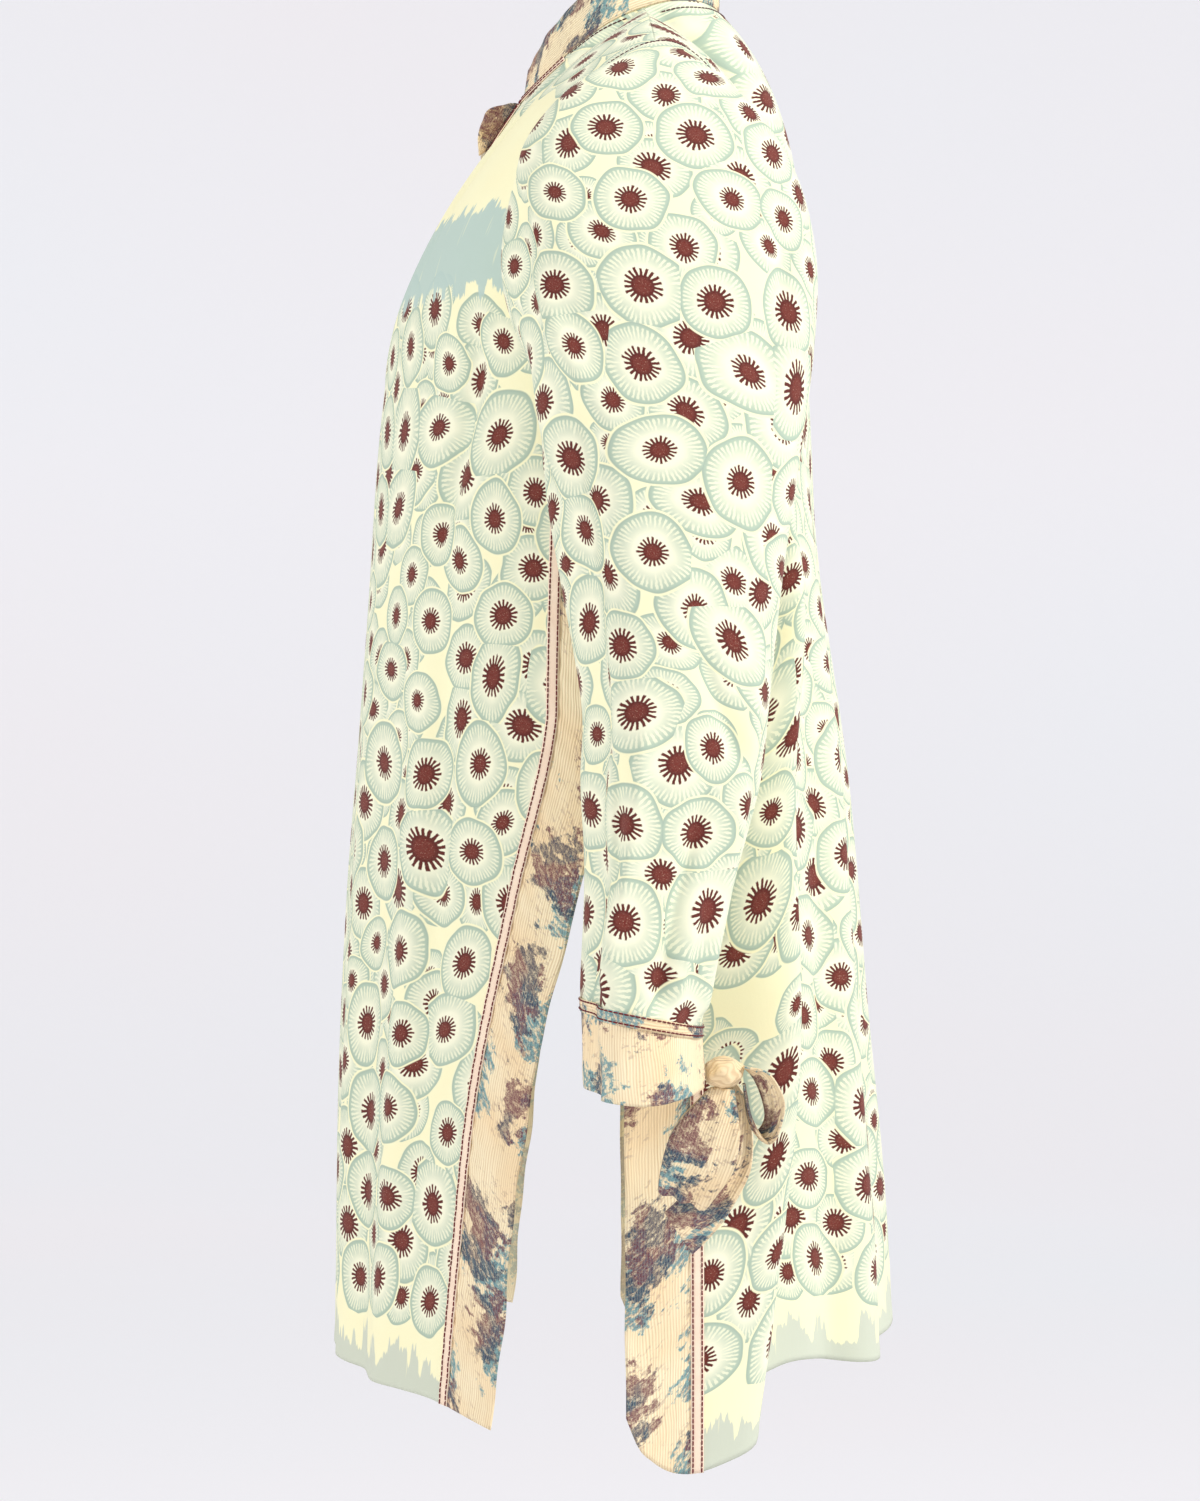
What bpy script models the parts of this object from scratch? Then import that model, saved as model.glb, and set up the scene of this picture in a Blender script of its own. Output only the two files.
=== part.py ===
"""A thin printed tunic as it is worn, made of the pieces that a maker would cut and sew.

Metres, +Z up. The front faces -Y and the wearer's left is +X. The origin is the centre of the neck's base.
Every piece is a sheet of points worked out on a grid and given its wall by a Solidify modifier.
"""

import bpy
import numpy as np

# Cloth and seams
WALL = 0.0012
TAPE_WALL = 0.0010
TAPE_WIDTH = 0.0070
STRIP_WIDTH = 0.0380
FLAT_SEAM_INSET = 0.00022
RIDGE_SEAM_INSET = 0.00075
ARMHOLE_INSET = 0.0011
TAPE_LIFT = 0.5 * WALL + 0.5 * TAPE_WALL + 0.0004

# Heights
YOKE_HEIGHT = -0.214
YOKE_LENGTH = 0.22
SHOULDER_TO_CENTRE = 0.17
FRONT_HALF_PANEL = 0.19
ARMPIT_HEIGHT = -0.240
LOWEST_LEVEL = -0.830
LEVEL_STEP = 0.006

# Side seam, which is the back strip's free edge below the slit's top
SIDE_SEAM = {
    "height": (-0.200, -0.240, -0.300, -0.450, -0.600, -0.700, -0.830),
    "x": (0.187, 0.188, 0.190, 0.200, 0.212, 0.219, 0.226),
    "y": (-0.005, -0.006, -0.0085, -0.0118, -0.0105, -0.0100, -0.0090),
}

# Front half of the body: centre front, how far the slit opens the edge forward and outward,
# and how far round the edge turns, in degrees
FRONT_LEVELS = {
    "height": (-0.200, -0.240, -0.345, -0.410, -0.500, -0.607, -0.700, -0.830),
    "front_y": (-0.1455, -0.1500, -0.1570, -0.1615, -0.1675, -0.1725, -0.1745, -0.1755),
    "open_forward": (0.0, 0.0, 0.0, 0.0005, 0.0230, 0.0495, 0.0615, 0.0760),
    "open_outward": (0.0, 0.0, 0.0, 0.0, 0.0010, 0.0010, 0.0030, 0.0070),
    "turn": (90.0, 90.0, 90.0, 86.0, 72.0, 60.0, 57.0, 53.0),
}

# Back half of the body: crest and valley of the side fold, the round of the back, centre back
BACK_LEVELS = {
    "height": (-0.200, -0.240, -0.300, -0.450, -0.600, -0.700, -0.830),
    "crest_x": (0.176, 0.182, 0.196, 0.201, 0.203, 0.202, 0.200),
    "crest_y": (0.048, 0.056, 0.078, 0.080, 0.081, 0.070, 0.052),
    "valley_x": (0.150, 0.158, 0.172, 0.172, 0.170, 0.170, 0.167),
    "valley_y": (0.072, 0.073, 0.071, 0.067, 0.064, 0.060, 0.056),
    "round_x": (0.095, 0.097, 0.105, 0.115, 0.115, 0.112, 0.108),
    "round_y": (0.0880, 0.0885, 0.0910, 0.1010, 0.1110, 0.1180, 0.1220),
    "back_y": (0.0955, 0.0965, 0.0975, 0.1155, 0.1285, 0.1395, 0.1500),
}

# Hem heights, by distance from the side edge
FRONT_HEM = {
    "from_edge": (0.000, 0.028, 0.038, 0.100, 0.200, 0.320),
    "height": (-0.777, -0.7705, -0.7685, -0.7655, -0.7625, -0.7620),
}
BACK_HEM = {
    "from_edge": (0.000, 0.006, 0.014, 0.060, 0.078, 0.092, 0.130, 0.200, 0.300),
    "height": (-0.772, -0.787, -0.795, -0.7950, -0.7860, -0.7720, -0.7560, -0.7600, -0.7480),
}

# Neckline of the left half, from the front corner round to the centre back
NECKLINE = {
    "x": (0.032, 0.053, 0.064, 0.070, 0.071, 0.070, 0.060, 0.035, 0.000),
    "y": (-0.066, -0.054, -0.035, -0.014, 0.001, 0.015, 0.030, 0.0415, 0.045),
    "z": (-0.050, -0.042, -0.0265, -0.013, -0.007, -0.003, -0.001, 0.000, 0.000),
}
NECK_SHOULDER_KEY = 4
OPENING_BOTTOM = (0.0, -0.1335, -0.158)
OPENING_MIDDLE = (0.0145, -0.104, -0.106)
SHOULDER_SEAM = {
    "x": (0.071, 0.128, 0.185),
    "y": (0.001, 0.0035, 0.006),
    "z": (-0.007, -0.0235, -0.047),
}

# Armhole of the left side: from the shoulder down the front, and from low at the back up to the shoulder
ARMHOLE_FRONT = {
    "x": (0.185, 0.177, 0.165, 0.167),
    "y": (0.006, -0.040, -0.063, -0.063),
    "z": (-0.047, -0.077, -0.128, -0.178),
}
ARMHOLE_BACK = {
    "x": (0.170, 0.165, 0.176),
    "y": (0.0645, 0.067, 0.040),
    "z": (-0.178, -0.126, -0.066),
}

# Sections of the left sleeve, from just outside the armhole to the cuff's lower edge
SLEEVE_SECTIONS = {
    "outer_x": (0.216, 0.250, 0.275, 0.286, 0.290, 0.293, 0.296, 0.299, 0.304, 0.306, 0.309),
    "outer_z": (-0.062, -0.100, -0.165, -0.240, -0.320, -0.400, -0.439, -0.485, -0.540, -0.5605, -0.601),
    "inner_x": (0.204, 0.209, 0.2115, 0.2120, 0.2110, 0.210, 0.211, 0.2135, 0.217, 0.218, 0.219),
    "inner_z": (-0.2412, -0.247, -0.266, -0.300, -0.350, -0.400, -0.439, -0.485, -0.540, -0.5605, -0.601),
    "centre_y": (0.003, 0.006, 0.010, 0.012, 0.0125, 0.0155, 0.013, 0.008, 0.0, -0.002, -0.001),
    "front_depth": (0.074, 0.080, 0.071, 0.067, 0.056, 0.048, 0.046, 0.039, 0.0325, 0.0305, 0.0300),
    "back_depth": (0.078, 0.083, 0.077, 0.068, 0.058, 0.048, 0.046, 0.039, 0.0325, 0.0305, 0.0300),
}
SLEEVE_LEAD = 0.3
SLEEVE_LEAD_OUT = 0.010
SLEEVE_LEAD_DROP = 0.003
CUFF_TOP_SECTION = 10
CUFF_HEIGHT = 0.041
ABOVE_CUFF_HEIGHT = 0.0205
CUFF_TOP_SLANT = 0.007
CUFF_HEM_RISE = 0.006
SLEEVE_SLIT_HALF_ANGLES = (4.0, 7.0)
CUFF_OPEN_HALF_ANGLES = (6.0, 5.0, 3.0, 2.0)

# Long fold down the sleeve: where it lies round the sleeve, where it starts, and its step, fade and dip, in radians
FOLD_ANGLE = 40.0
FOLD_SECTIONS = (3.5, 7.5)
FOLD_SHARPNESS = 7.0
FOLD_DEPTH = 0.007
FOLD_FADE = 0.95
FOLD_DIP = {"at": -0.35, "width": 0.30, "share": 0.45}
FOLD_PUSH_X = 0.9
FOLD_PUSH_Y = 0.6

# Collar: how high it stands and how far its upper edge leans in, along the neckline from front corner to back
COLLAR = {
    "along": (0.0, 0.06, 0.20, 0.40, 0.60, 1.0),
    "height": (0.015, 0.0195, 0.0270, 0.033, 0.035, 0.036),
    "lean": (0.002, 0.002, 0.0035, 0.005, 0.003, -0.001),
}
COLLAR_SEAM_LIFT = 0.0016

# Facing turned out at the top of the front opening, down its edge: how far its free edge stands out
FACING = {
    "along": (0.965, 0.93, 0.87, 0.80, 0.73),
    "out_x": (0.000, 0.002, 0.003, 0.002, 0.000),
    "out_y": (-0.0060, -0.0140, -0.0150, -0.0125, -0.0070),
    "out_z": (0.000, 0.001, 0.000, -0.002, -0.004),
}
FACING_ROOT_SHIFT = (-0.0016, -0.0030, 0.0)

# Edge tape: up the left edge of the opening, round its corner and along the neckline under the collar's front
EDGE_TAPE_LIFT = TAPE_LIFT + 0.0003
CUFF_TAPE_LIFT = TAPE_LIFT + 0.0002
EDGE_TAPE_OPENING = (0.03, 0.16, 0.29, 0.42, 0.54, 0.65, 0.75, 0.84, 0.92)
EDGE_TAPE_NECKLINE = (0.0, 0.06, 0.10, 0.15, 0.20)
YOKE_SLOPE_SHARE = 0.82

# The bow at the back of the left cuff
KNOT_CENTRE = (0.262, 0.0398, -0.588)
KNOT_RADII = (0.0090, 0.0105, 0.0085)
BROAD_LOOP = {
    "x": (0.2645, 0.2705, 0.2710, 0.2690, 0.2640, 0.2590, 0.2560, 0.2555, 0.2600),
    "y": (0.0395, 0.0320, 0.0275, 0.0215, 0.0185, 0.0205, 0.0265, 0.0315, 0.0395),
    "z": (-0.5962, -0.6160, -0.6320, -0.6460, -0.6535, -0.6460, -0.6320, -0.6160, -0.5962),
    "half_width": (0.0060, 0.0160, 0.0180, 0.0150, 0.0125, 0.0140, 0.0165, 0.0150, 0.0060),
    "across_x": (0.0, 0.0, 0.0, 0.0, 0.0, 0.0, 0.0, 0.0, 0.0),
    "across_y": (1.0, 1.0, 1.0, 1.0, 1.0, 1.0, 1.0, 1.0, 1.0),
    "across_z": (-0.1, -0.15, -0.3, -0.35, -0.4, -0.35, -0.3, -0.15, -0.1),
}
SMALL_LOOP = {
    "x": (0.2645, 0.2655, 0.2650, 0.2620, 0.2600, 0.2595, 0.2600),
    "y": (0.0501, 0.0595, 0.0655, 0.0640, 0.0590, 0.0535, 0.0504),
    "z": (-0.5850, -0.5905, -0.6040, -0.6170, -0.6215, -0.6120, -0.5940),
    "half_width": (0.0045, 0.0075, 0.0085, 0.0085, 0.0080, 0.0070, 0.0045),
    "across_x": (1.0, 1.0, 1.0, 1.0, 1.0, 1.0, 1.0),
    "across_y": (0.0, 0.2, 0.3, 0.0, 0.0, 0.0, 0.0),
    "across_z": (0.0, 0.2, 0.0, 0.2, 0.2, 0.0, 0.0),
}
TIE_TAIL = {
    "x": (0.2560, 0.2470, 0.2450, 0.2470, 0.2490, 0.2500),
    "y": (0.0430, 0.0462, 0.0445, 0.0350, 0.0255, 0.0170),
    "z": (-0.5940, -0.6085, -0.6340, -0.6520, -0.6640, -0.6720),
    "half_width": (0.0032, 0.0078, 0.0110, 0.0125, 0.0130, 0.0130),
    "across_x": (0.2, 0.2, 0.1, 0.1, 0.0, 0.0),
    "across_y": (1.0, 1.0, 0.9, 0.7, 0.6, 0.6),
    "across_z": (0.3, 0.1, -0.3, -0.7, -0.9, -0.9),
}

# How many steps each grid takes
FRONT_COLUMNS = 12
BACK_FOLD_COLUMNS = 8
YOKE_ROWS = 8
SKIRT_ROWS = 15
SLEEVE_STEPS = 30
COLLAR_ROWS = 5
FRONT_RING_POINTS = 140
BACK_RING_POINTS = 420
BACK_PLAIN_COLUMNS = 7
BACK_FOLD_FRACTIONS = (0.62, 0.95)
BACK_SEAM_COLUMN = 0.975
YOKE_ROW_POWER = 1.35
SLEEVE_ROW_SECTIONS = (0.3, 0.65, 1.0, 1.5, 2.0, 2.6, 3.2, 3.9, 4.6, 5.3, 6.0, 7.0, 8.0, 9.0, 9.6)


def smooth(knots, values, where):
    """Cubic curve through the values at the knots: each inner slope is the mean of its neighbours' slopes."""
    knots = np.asarray(knots, float)
    values = np.asarray(values, float)
    if knots[0] > knots[-1]:
        knots = knots[::-1]
        values = values[::-1]
    slopes = np.gradient(values, knots, axis=0)
    where = np.clip(np.asarray(where, float), knots[0], knots[-1])
    cell = np.clip(np.searchsorted(knots, where) - 1, 0, len(knots) - 2)
    width = knots[cell + 1] - knots[cell]
    t = (where - knots[cell]) / width
    extra = (1,) * (values.ndim - 1)
    t = t.reshape(t.shape + extra)
    width = width.reshape(width.shape + extra)
    start = (1 + 2 * t) * (1 - t) ** 2 * values[cell] + t * (1 - t) ** 2 * width * slopes[cell]
    end = t * t * (3 - 2 * t) * values[cell + 1] + t * t * (t - 1) * width * slopes[cell + 1]
    return start + end


def column(table, name, where, along="height"):
    """One named column of a table, read smoothly at any height."""
    return smooth(table[along], table[name], where)


def spline(points, count):
    """Smooth line of count points through the given ones, spaced by the root of their distances."""
    points = np.asarray(points, float)
    chords = np.sqrt(np.linalg.norm(np.diff(points, axis=0), axis=1))
    knots = np.concatenate(([0.0], np.cumsum(chords)))
    return smooth(knots, points, np.linspace(0.0, knots[-1], count))


def by_length(line, lengths):
    """Points of a fine line at the given lengths from its start."""
    steps = np.linalg.norm(np.diff(line, axis=0), axis=1)
    run = np.concatenate(([0.0], np.cumsum(steps)))
    return np.stack([np.interp(lengths, run, line[:, axis]) for axis in range(line.shape[1])], axis=-1)


def line_length(line):
    return np.linalg.norm(np.diff(line, axis=0), axis=1).sum()


def front_ring(height):
    """Left front half of the body at one height, from the side edge to the centre front: part of an ellipse."""
    turn = np.radians(column(FRONT_LEVELS, "turn", height))
    edge_x = column(SIDE_SEAM, "x", height) + max(0.0, column(FRONT_LEVELS, "open_outward", height))
    edge_y = column(SIDE_SEAM, "y", height) - max(0.0, column(FRONT_LEVELS, "open_forward", height))
    front_y = column(FRONT_LEVELS, "front_y", height)
    half_width = edge_x / np.sin(turn)
    half_depth = (edge_y - front_y) / (1.0 - np.cos(turn))
    angle = np.linspace(turn, 0.0, FRONT_RING_POINTS)
    return np.stack((half_width * np.sin(angle), front_y + half_depth * (1.0 - np.cos(angle))), axis=1)


def back_ring(height):
    """Left back half of the body at one height, from the side edge over the side fold to the centre back."""
    value = {name: float(column(BACK_LEVELS, name, height)) for name in BACK_LEVELS if name != "height"}
    keys = [(column(SIDE_SEAM, "x", height), column(SIDE_SEAM, "y", height))]
    keys += [(value[name + "_x"], value[name + "_y"]) for name in ("crest", "valley", "round")]
    keys += [(0.0, value["back_y"]), (-value["round_x"], value["round_y"])]
    fine = spline(keys, BACK_RING_POINTS)
    return np.vstack((fine[fine[:, 0] > 0.0], (0.0, value["back_y"])))


LEVELS = np.arange(-0.200, LOWEST_LEVEL, -LEVEL_STEP)
RINGS = {
    "front": [front_ring(height) for height in LEVELS],
    "back": [back_ring(height) for height in LEVELS],
}
HEM_LEVEL = -8
HALF_LENGTHS = {side: np.array([line_length(ring) for ring in rings]) for side, rings in RINGS.items()}


def body_points(side, distances, heights):
    """Points of the left body at distances from the side edge (columns) and heights (rows by columns).

    A distance is a length along the ring, or a fraction of the panel inside the strip where it is over 1.
    """
    grid = np.empty(heights.shape + (3,))
    for index, distance in enumerate(distances):
        track = []
        for ring, length in zip(RINGS[side], HALF_LENGTHS[side]):
            reach = distance
            if distance > 1.0:
                reach = STRIP_WIDTH + (distance - 1.0) * (length - STRIP_WIDTH)
            track.append(by_length(ring, reach))
        track = np.array(track)
        grid[:, index, 0] = smooth(LEVELS, track[:, 0], heights[:, index])
        grid[:, index, 1] = smooth(LEVELS, track[:, 1], heights[:, index])
        grid[:, index, 2] = heights[:, index]
    return grid


def hem_height(side, distances):
    """Height of the hem at distances from the side edge; see body_points for distances over 1."""
    table = FRONT_HEM if side == "front" else BACK_HEM
    length = HALF_LENGTHS[side][HEM_LEVEL]
    distances = np.asarray(distances, float)
    reach = np.where(distances > 1.0, STRIP_WIDTH + (distances - 1.0) * (length - STRIP_WIDTH), distances)
    return smooth(table["from_edge"], table["height"], reach)


def armhole_keys():
    """Ten points round the left armhole, from the shoulder down the front and up the back."""
    front = np.stack([ARMHOLE_FRONT[axis] for axis in "xyz"], axis=1)
    back = np.stack([ARMHOLE_BACK[axis] for axis in "xyz"], axis=1)
    yoke = np.array([[YOKE_HEIGHT]])
    front_strip = body_points("front", [STRIP_WIDTH], yoke)[0]
    back_strip = body_points("back", [STRIP_WIDTH], yoke)[0]
    armpit = body_points("front", [0.0], np.array([[ARMPIT_HEIGHT]]))[0]
    return np.vstack((front, front_strip, armpit, back_strip, back))


ARMHOLE_KEYS = armhole_keys()


def armhole(turns):
    """Points of the armhole; turns runs from 0 at the shoulder through 0.5 at the armpit to 1."""
    keys = np.vstack((ARMHOLE_KEYS[-2:], ARMHOLE_KEYS, ARMHOLE_KEYS[:3]))
    knots = np.arange(-2, len(ARMHOLE_KEYS) + 3) / len(ARMHOLE_KEYS)
    return smooth(knots, keys, turns)


def neckline(along):
    """Points of the neckline's left half; along runs from 0 at the front corner to 1 at the centre back."""
    keys = np.stack([NECKLINE[axis] for axis in "xyz"], axis=1)
    keys = np.vstack((keys, keys[-2] * (-1.0, 1.0, 1.0)))
    chords = np.linalg.norm(np.diff(keys, axis=0), axis=1)
    knots = np.concatenate(([0.0], np.cumsum(chords)))
    return smooth(knots / knots[-2], keys, along)


def neckline_shoulder():
    """How far along the neckline the shoulder seam meets it."""
    keys = np.stack([NECKLINE[axis] for axis in "xyz"], axis=1)
    chords = np.linalg.norm(np.diff(keys, axis=0), axis=1)
    return chords[:NECK_SHOULDER_KEY].sum() / chords.sum()


def opening_edge(along):
    """Left edge of the front opening, from its bottom at 0 to the neckline's front corner at 1."""
    corner = neckline(np.array([0.0]))[0]
    return smooth((0.0, 0.47, 1.0), (OPENING_BOTTOM, OPENING_MIDDLE, corner), along)


def shoulder_seam(along):
    keys = np.stack([SHOULDER_SEAM[axis] for axis in "xyz"], axis=1)
    return smooth((0.0, 0.5, 1.0), keys, along)


# Where along a yoke's top edge the opening, the neckline and the shoulder seam end
FRONT_YOKE_ENDS = (0.15, 0.38)
BACK_YOKE_END = 0.36


def yoke_top(side, fraction):
    """Top edge of a panel's left half, from the centre at 0 to the shoulder point at 1."""
    meet = neckline_shoulder()
    if side == "front":
        opening_end, neck_end = FRONT_YOKE_ENDS
        if fraction < opening_end:
            return opening_edge(fraction / opening_end)
        if fraction < neck_end:
            return neckline(meet * (fraction - opening_end) / (neck_end - opening_end))
        return shoulder_seam((fraction - neck_end) / (1.0 - neck_end))
    if fraction < BACK_YOKE_END:
        return neckline(1.0 - (1.0 - meet) * fraction / BACK_YOKE_END)
    return shoulder_seam((fraction - BACK_YOKE_END) / (1.0 - BACK_YOKE_END))


# How the cloth leaves a yoke's top edge, by fraction from the centre
YOKE_SLOPES = {
    "front": {"fraction": (0.0, 0.15, 0.38, 1.0), "y": (-0.36, -0.52, -0.78, -0.80), "z": (-0.93, -0.85, -0.63, -0.60)},
    "back": {"fraction": (0.0, 0.36, 0.7, 1.0), "y": (0.70, 0.80, 0.80, 0.80), "z": (-0.70, -0.60, -0.58, -0.55)},
}


def yoke_points(side, fractions, depths):
    """Upper part of a panel's left half: fractions from the centre (columns), depths 0 to 1 from the top (rows).

    Each column is a cubic curve from the top edge to the ring at the yoke's height, and the outer
    columns are drawn over to the armhole.
    """
    fractions = np.asarray(fractions, float)
    top = np.array([yoke_top(side, fraction) for fraction in fractions])
    edge_top = yoke_top(side, 1.0)
    bottom = body_points(side, 2.0 - fractions, np.full((1, len(fractions)), YOKE_HEIGHT))[0]
    edge_bottom = body_points(side, [STRIP_WIDTH], np.array([[YOKE_HEIGHT]]))[0, 0]
    slopes = YOKE_SLOPES[side]
    t = np.asarray(depths, float)[:, None, None]

    def curve(start, end, fraction):
        span = np.linalg.norm(end - start, axis=-1, keepdims=True)
        leave_y = smooth(slopes["fraction"], slopes["y"], fraction)
        leave_z = smooth(slopes["fraction"], slopes["z"], fraction)
        leave = np.stack((np.zeros_like(leave_y), leave_y, leave_z), axis=-1) * span
        arrive = np.zeros_like(leave)
        arrive[..., 2] = -span[..., 0]
        first = (1 + 2 * t) * (1 - t) ** 2 * start + t * (1 - t) ** 2 * leave
        return first + t * t * (3 - 2 * t) * end + t * t * (t - 1) * arrive

    surface = curve(top, bottom, fractions)
    plain_edge = curve(edge_top[None], edge_bottom[None], np.array([1.0]))
    turns = 0.4 * np.asarray(depths, float)
    true_edge = armhole(turns if side == "front" else 1.0 - turns)[:, None]
    pull = np.clip((fractions - 0.35) / 0.65, 0.0, 1.0)
    pull = (pull * pull * (3.0 - 2.0 * pull))[None, :, None]
    return surface + pull * (true_edge - plain_edge)


def mirrored(grid):
    """The same grid on the wearer's right, with its columns turned round so that the outside stays outside."""
    return (grid * (-1.0, 1.0, 1.0))[:, ::-1]


def both_halves(half):
    """A whole panel from its left half, whose first column is the centre line."""
    return np.hstack((mirrored(half)[:, :-1], half))


def normals(grid):
    """Unit normals of a grid, from the cross product of its row and column directions."""
    across = np.gradient(grid, axis=1)
    down = np.gradient(grid, axis=0)
    normal = np.cross(across, down)
    return normal / np.linalg.norm(normal, axis=2, keepdims=True)


def cloth_material(name, colour, roughness):
    material = bpy.data.materials.new(name)
    material.use_nodes = True
    shader = material.node_tree.nodes["Principled BSDF"]
    shader.inputs["Base Color"].default_value = (*colour, 1.0)
    shader.inputs["Roughness"].default_value = roughness
    shader.inputs["Metallic"].default_value = 0.0
    return material


def sheet(name, grid, wall, material):
    """A cloth piece from a grid of points, rows by columns, with its wall half to each side of them."""
    rows, columns = grid.shape[:2]
    faces = []
    for row in range(rows - 1):
        for index in range(columns - 1):
            here = row * columns + index
            faces.append((here, here + columns, here + columns + 1, here + 1))
    walled(name, grid.reshape(-1, 3), faces, wall, material)


def walled(name, points, faces, wall, material):
    """A piece from points and faces, with its wall half to each side of them."""
    mesh = bpy.data.meshes.new(name)
    mesh.from_pydata([tuple(point) for point in points], [], faces)
    mesh.materials.append(material)
    mesh.shade_smooth()
    piece = bpy.data.objects.new(name, mesh)
    bpy.context.scene.collection.objects.link(piece)
    thickness = piece.modifiers.new("Wall", "SOLIDIFY")
    thickness.thickness = wall
    thickness.offset = 0.0
    thickness.use_even_offset = True


def pair(name, grid, wall, material):
    """A piece on the wearer's left and its mirror on the right."""
    sheet(name + "_left", grid, wall, material)
    sheet(name + "_right", mirrored(grid), wall, material)


def panel_fractions(side):
    """Columns of a panel's left half, from the centre to the strip; the back has more of them at its side fold."""
    if side == "front":
        even = np.linspace(0.0, 1.0, FRONT_COLUMNS)[:-1]
        opening = np.array((0.025, FRONT_YOKE_ENDS[0]))
        spaced = np.unique(np.concatenate((even, opening)))
        return np.concatenate((spaced, (1.0 - TAPE_WIDTH / FRONT_HALF_PANEL, 1.0)))
    plain = np.linspace(0.0, BACK_FOLD_FRACTIONS[0], BACK_PLAIN_COLUMNS + 1)[:-1]
    fold = np.linspace(*BACK_FOLD_FRACTIONS, BACK_FOLD_COLUMNS)
    return np.concatenate((plain, fold, (BACK_SEAM_COLUMN, 1.0)))


def panel(side, material):
    """Front or back panel: the yoke over the skirt, inset a little at its seams."""
    fractions = panel_fractions(side)
    ring_length = HALF_LENGTHS[side][0] - STRIP_WIDTH
    inset = fractions.copy()
    inset[-1] -= FLAT_SEAM_INSET / ring_length
    depths = np.linspace(0.0, 1.0, YOKE_ROWS + 1) ** YOKE_ROW_POWER
    depths[0] = RIDGE_SEAM_INSET / YOKE_LENGTH
    armhole_side = fractions.copy()
    armhole_side[-1] -= ARMHOLE_INSET / SHOULDER_TO_CENTRE
    yoke = yoke_points(side, armhole_side, depths)
    yoke[-1] = body_points(side, 2.0 - inset, np.full((1, len(inset)), YOKE_HEIGHT))[0]
    share = np.linspace(0.0, 1.0, SKIRT_ROWS + 1)[1:, None]
    hem = hem_height(side, 2.0 - inset)[None, :]
    heights = YOKE_HEIGHT + share * (hem - YOKE_HEIGHT)
    skirt = body_points(side, 2.0 - inset, heights)
    grid = both_halves(np.vstack((yoke, skirt)))
    if side == "back":
        grid = grid[:, ::-1]
    sheet(side + "_panel", grid, WALL, material)


def strip_heights(side, distances, rows):
    """Rows of a side strip: from the armhole down to the hem."""
    turns = 0.5 - 0.1 * np.asarray(distances) / STRIP_WIDTH
    top = armhole(turns if side == "front" else 1.0 - turns)[:, 2] - ARMHOLE_INSET
    hem = hem_height(side, distances)
    share = np.linspace(0.0, 1.0, rows)[:, None]
    heights = YOKE_HEIGHT + share * (hem - YOKE_HEIGHT)[None, :]
    heights[0] = top
    return heights


def side_strip(side, material, tape_material):
    """Contrast strip between the panel and the side, with the tape over its inner seam."""
    rows = SKIRT_ROWS + 1
    distances = np.array((FLAT_SEAM_INSET, 0.010, 0.024, STRIP_WIDTH - 0.5 * TAPE_WIDTH,
                          STRIP_WIDTH - FLAT_SEAM_INSET))
    grid = body_points(side, distances, strip_heights(side, distances, rows))
    tape_distances = STRIP_WIDTH + np.array((-0.5, 0.5)) * TAPE_WIDTH
    tape = body_points(side, tape_distances, strip_heights(side, tape_distances.clip(0, STRIP_WIDTH), rows))
    if side == "front":
        grid = grid[:, ::-1]
        tape = tape[:, ::-1]
    pair("side_strip_" + side, grid, WALL, material)
    tape = tape + TAPE_LIFT * outward(tape)
    pair("strip_tape_" + side, tape[1:], TAPE_WALL, tape_material)


def outward(grid):
    """Normals of a grid on the body or a sleeve, turned to point away from the middle of its rows."""
    normal = normals(grid)
    middle = grid.mean(axis=1, keepdims=True) if grid.shape[1] > 2 else np.zeros(3)
    return normal * np.sign((normal * (grid - middle)).sum())


def sleeve_sections(turns):
    """Rings of the left sleeve: the armhole, a ring led straight out of it, then the sections of the table."""
    angle = 2.0 * np.pi * turns
    table = {name: np.array(values) for name, values in SLEEVE_SECTIONS.items()}
    depth = np.where(np.sin(angle)[None, :] > 0.0, table["front_depth"][:, None], table["back_depth"][:, None])
    middle_x = 0.5 * (table["outer_x"] + table["inner_x"])[:, None]
    middle_z = 0.5 * (table["outer_z"] + table["inner_z"])[:, None]
    half_x = 0.5 * (table["outer_x"] - table["inner_x"])[:, None]
    half_z = 0.5 * (table["outer_z"] - table["inner_z"])[:, None]
    x = middle_x + half_x * np.cos(angle)
    y = table["centre_y"][:, None] - depth * np.sin(angle)
    z = middle_z + half_z * np.cos(angle)
    rings = np.stack((x, y, z), axis=2)
    slant = np.zeros(len(rings))
    slant[-3:-1] = (0.5 * CUFF_TOP_SLANT, CUFF_TOP_SLANT)
    rings[..., 2] += slant[:, None] * np.sin(angle)
    rings[-1, :, 2] += CUFF_HEM_RISE * np.sin(angle) ** 2
    seam = armhole(turns)
    lead = seam + np.array((SLEEVE_LEAD_OUT, 0.0, 0.0))
    lead[:, 2] -= SLEEVE_LEAD_DROP * np.clip(np.cos(angle), 0.0, 1.0)
    return np.concatenate((seam[None], lead[None], rings))


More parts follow.
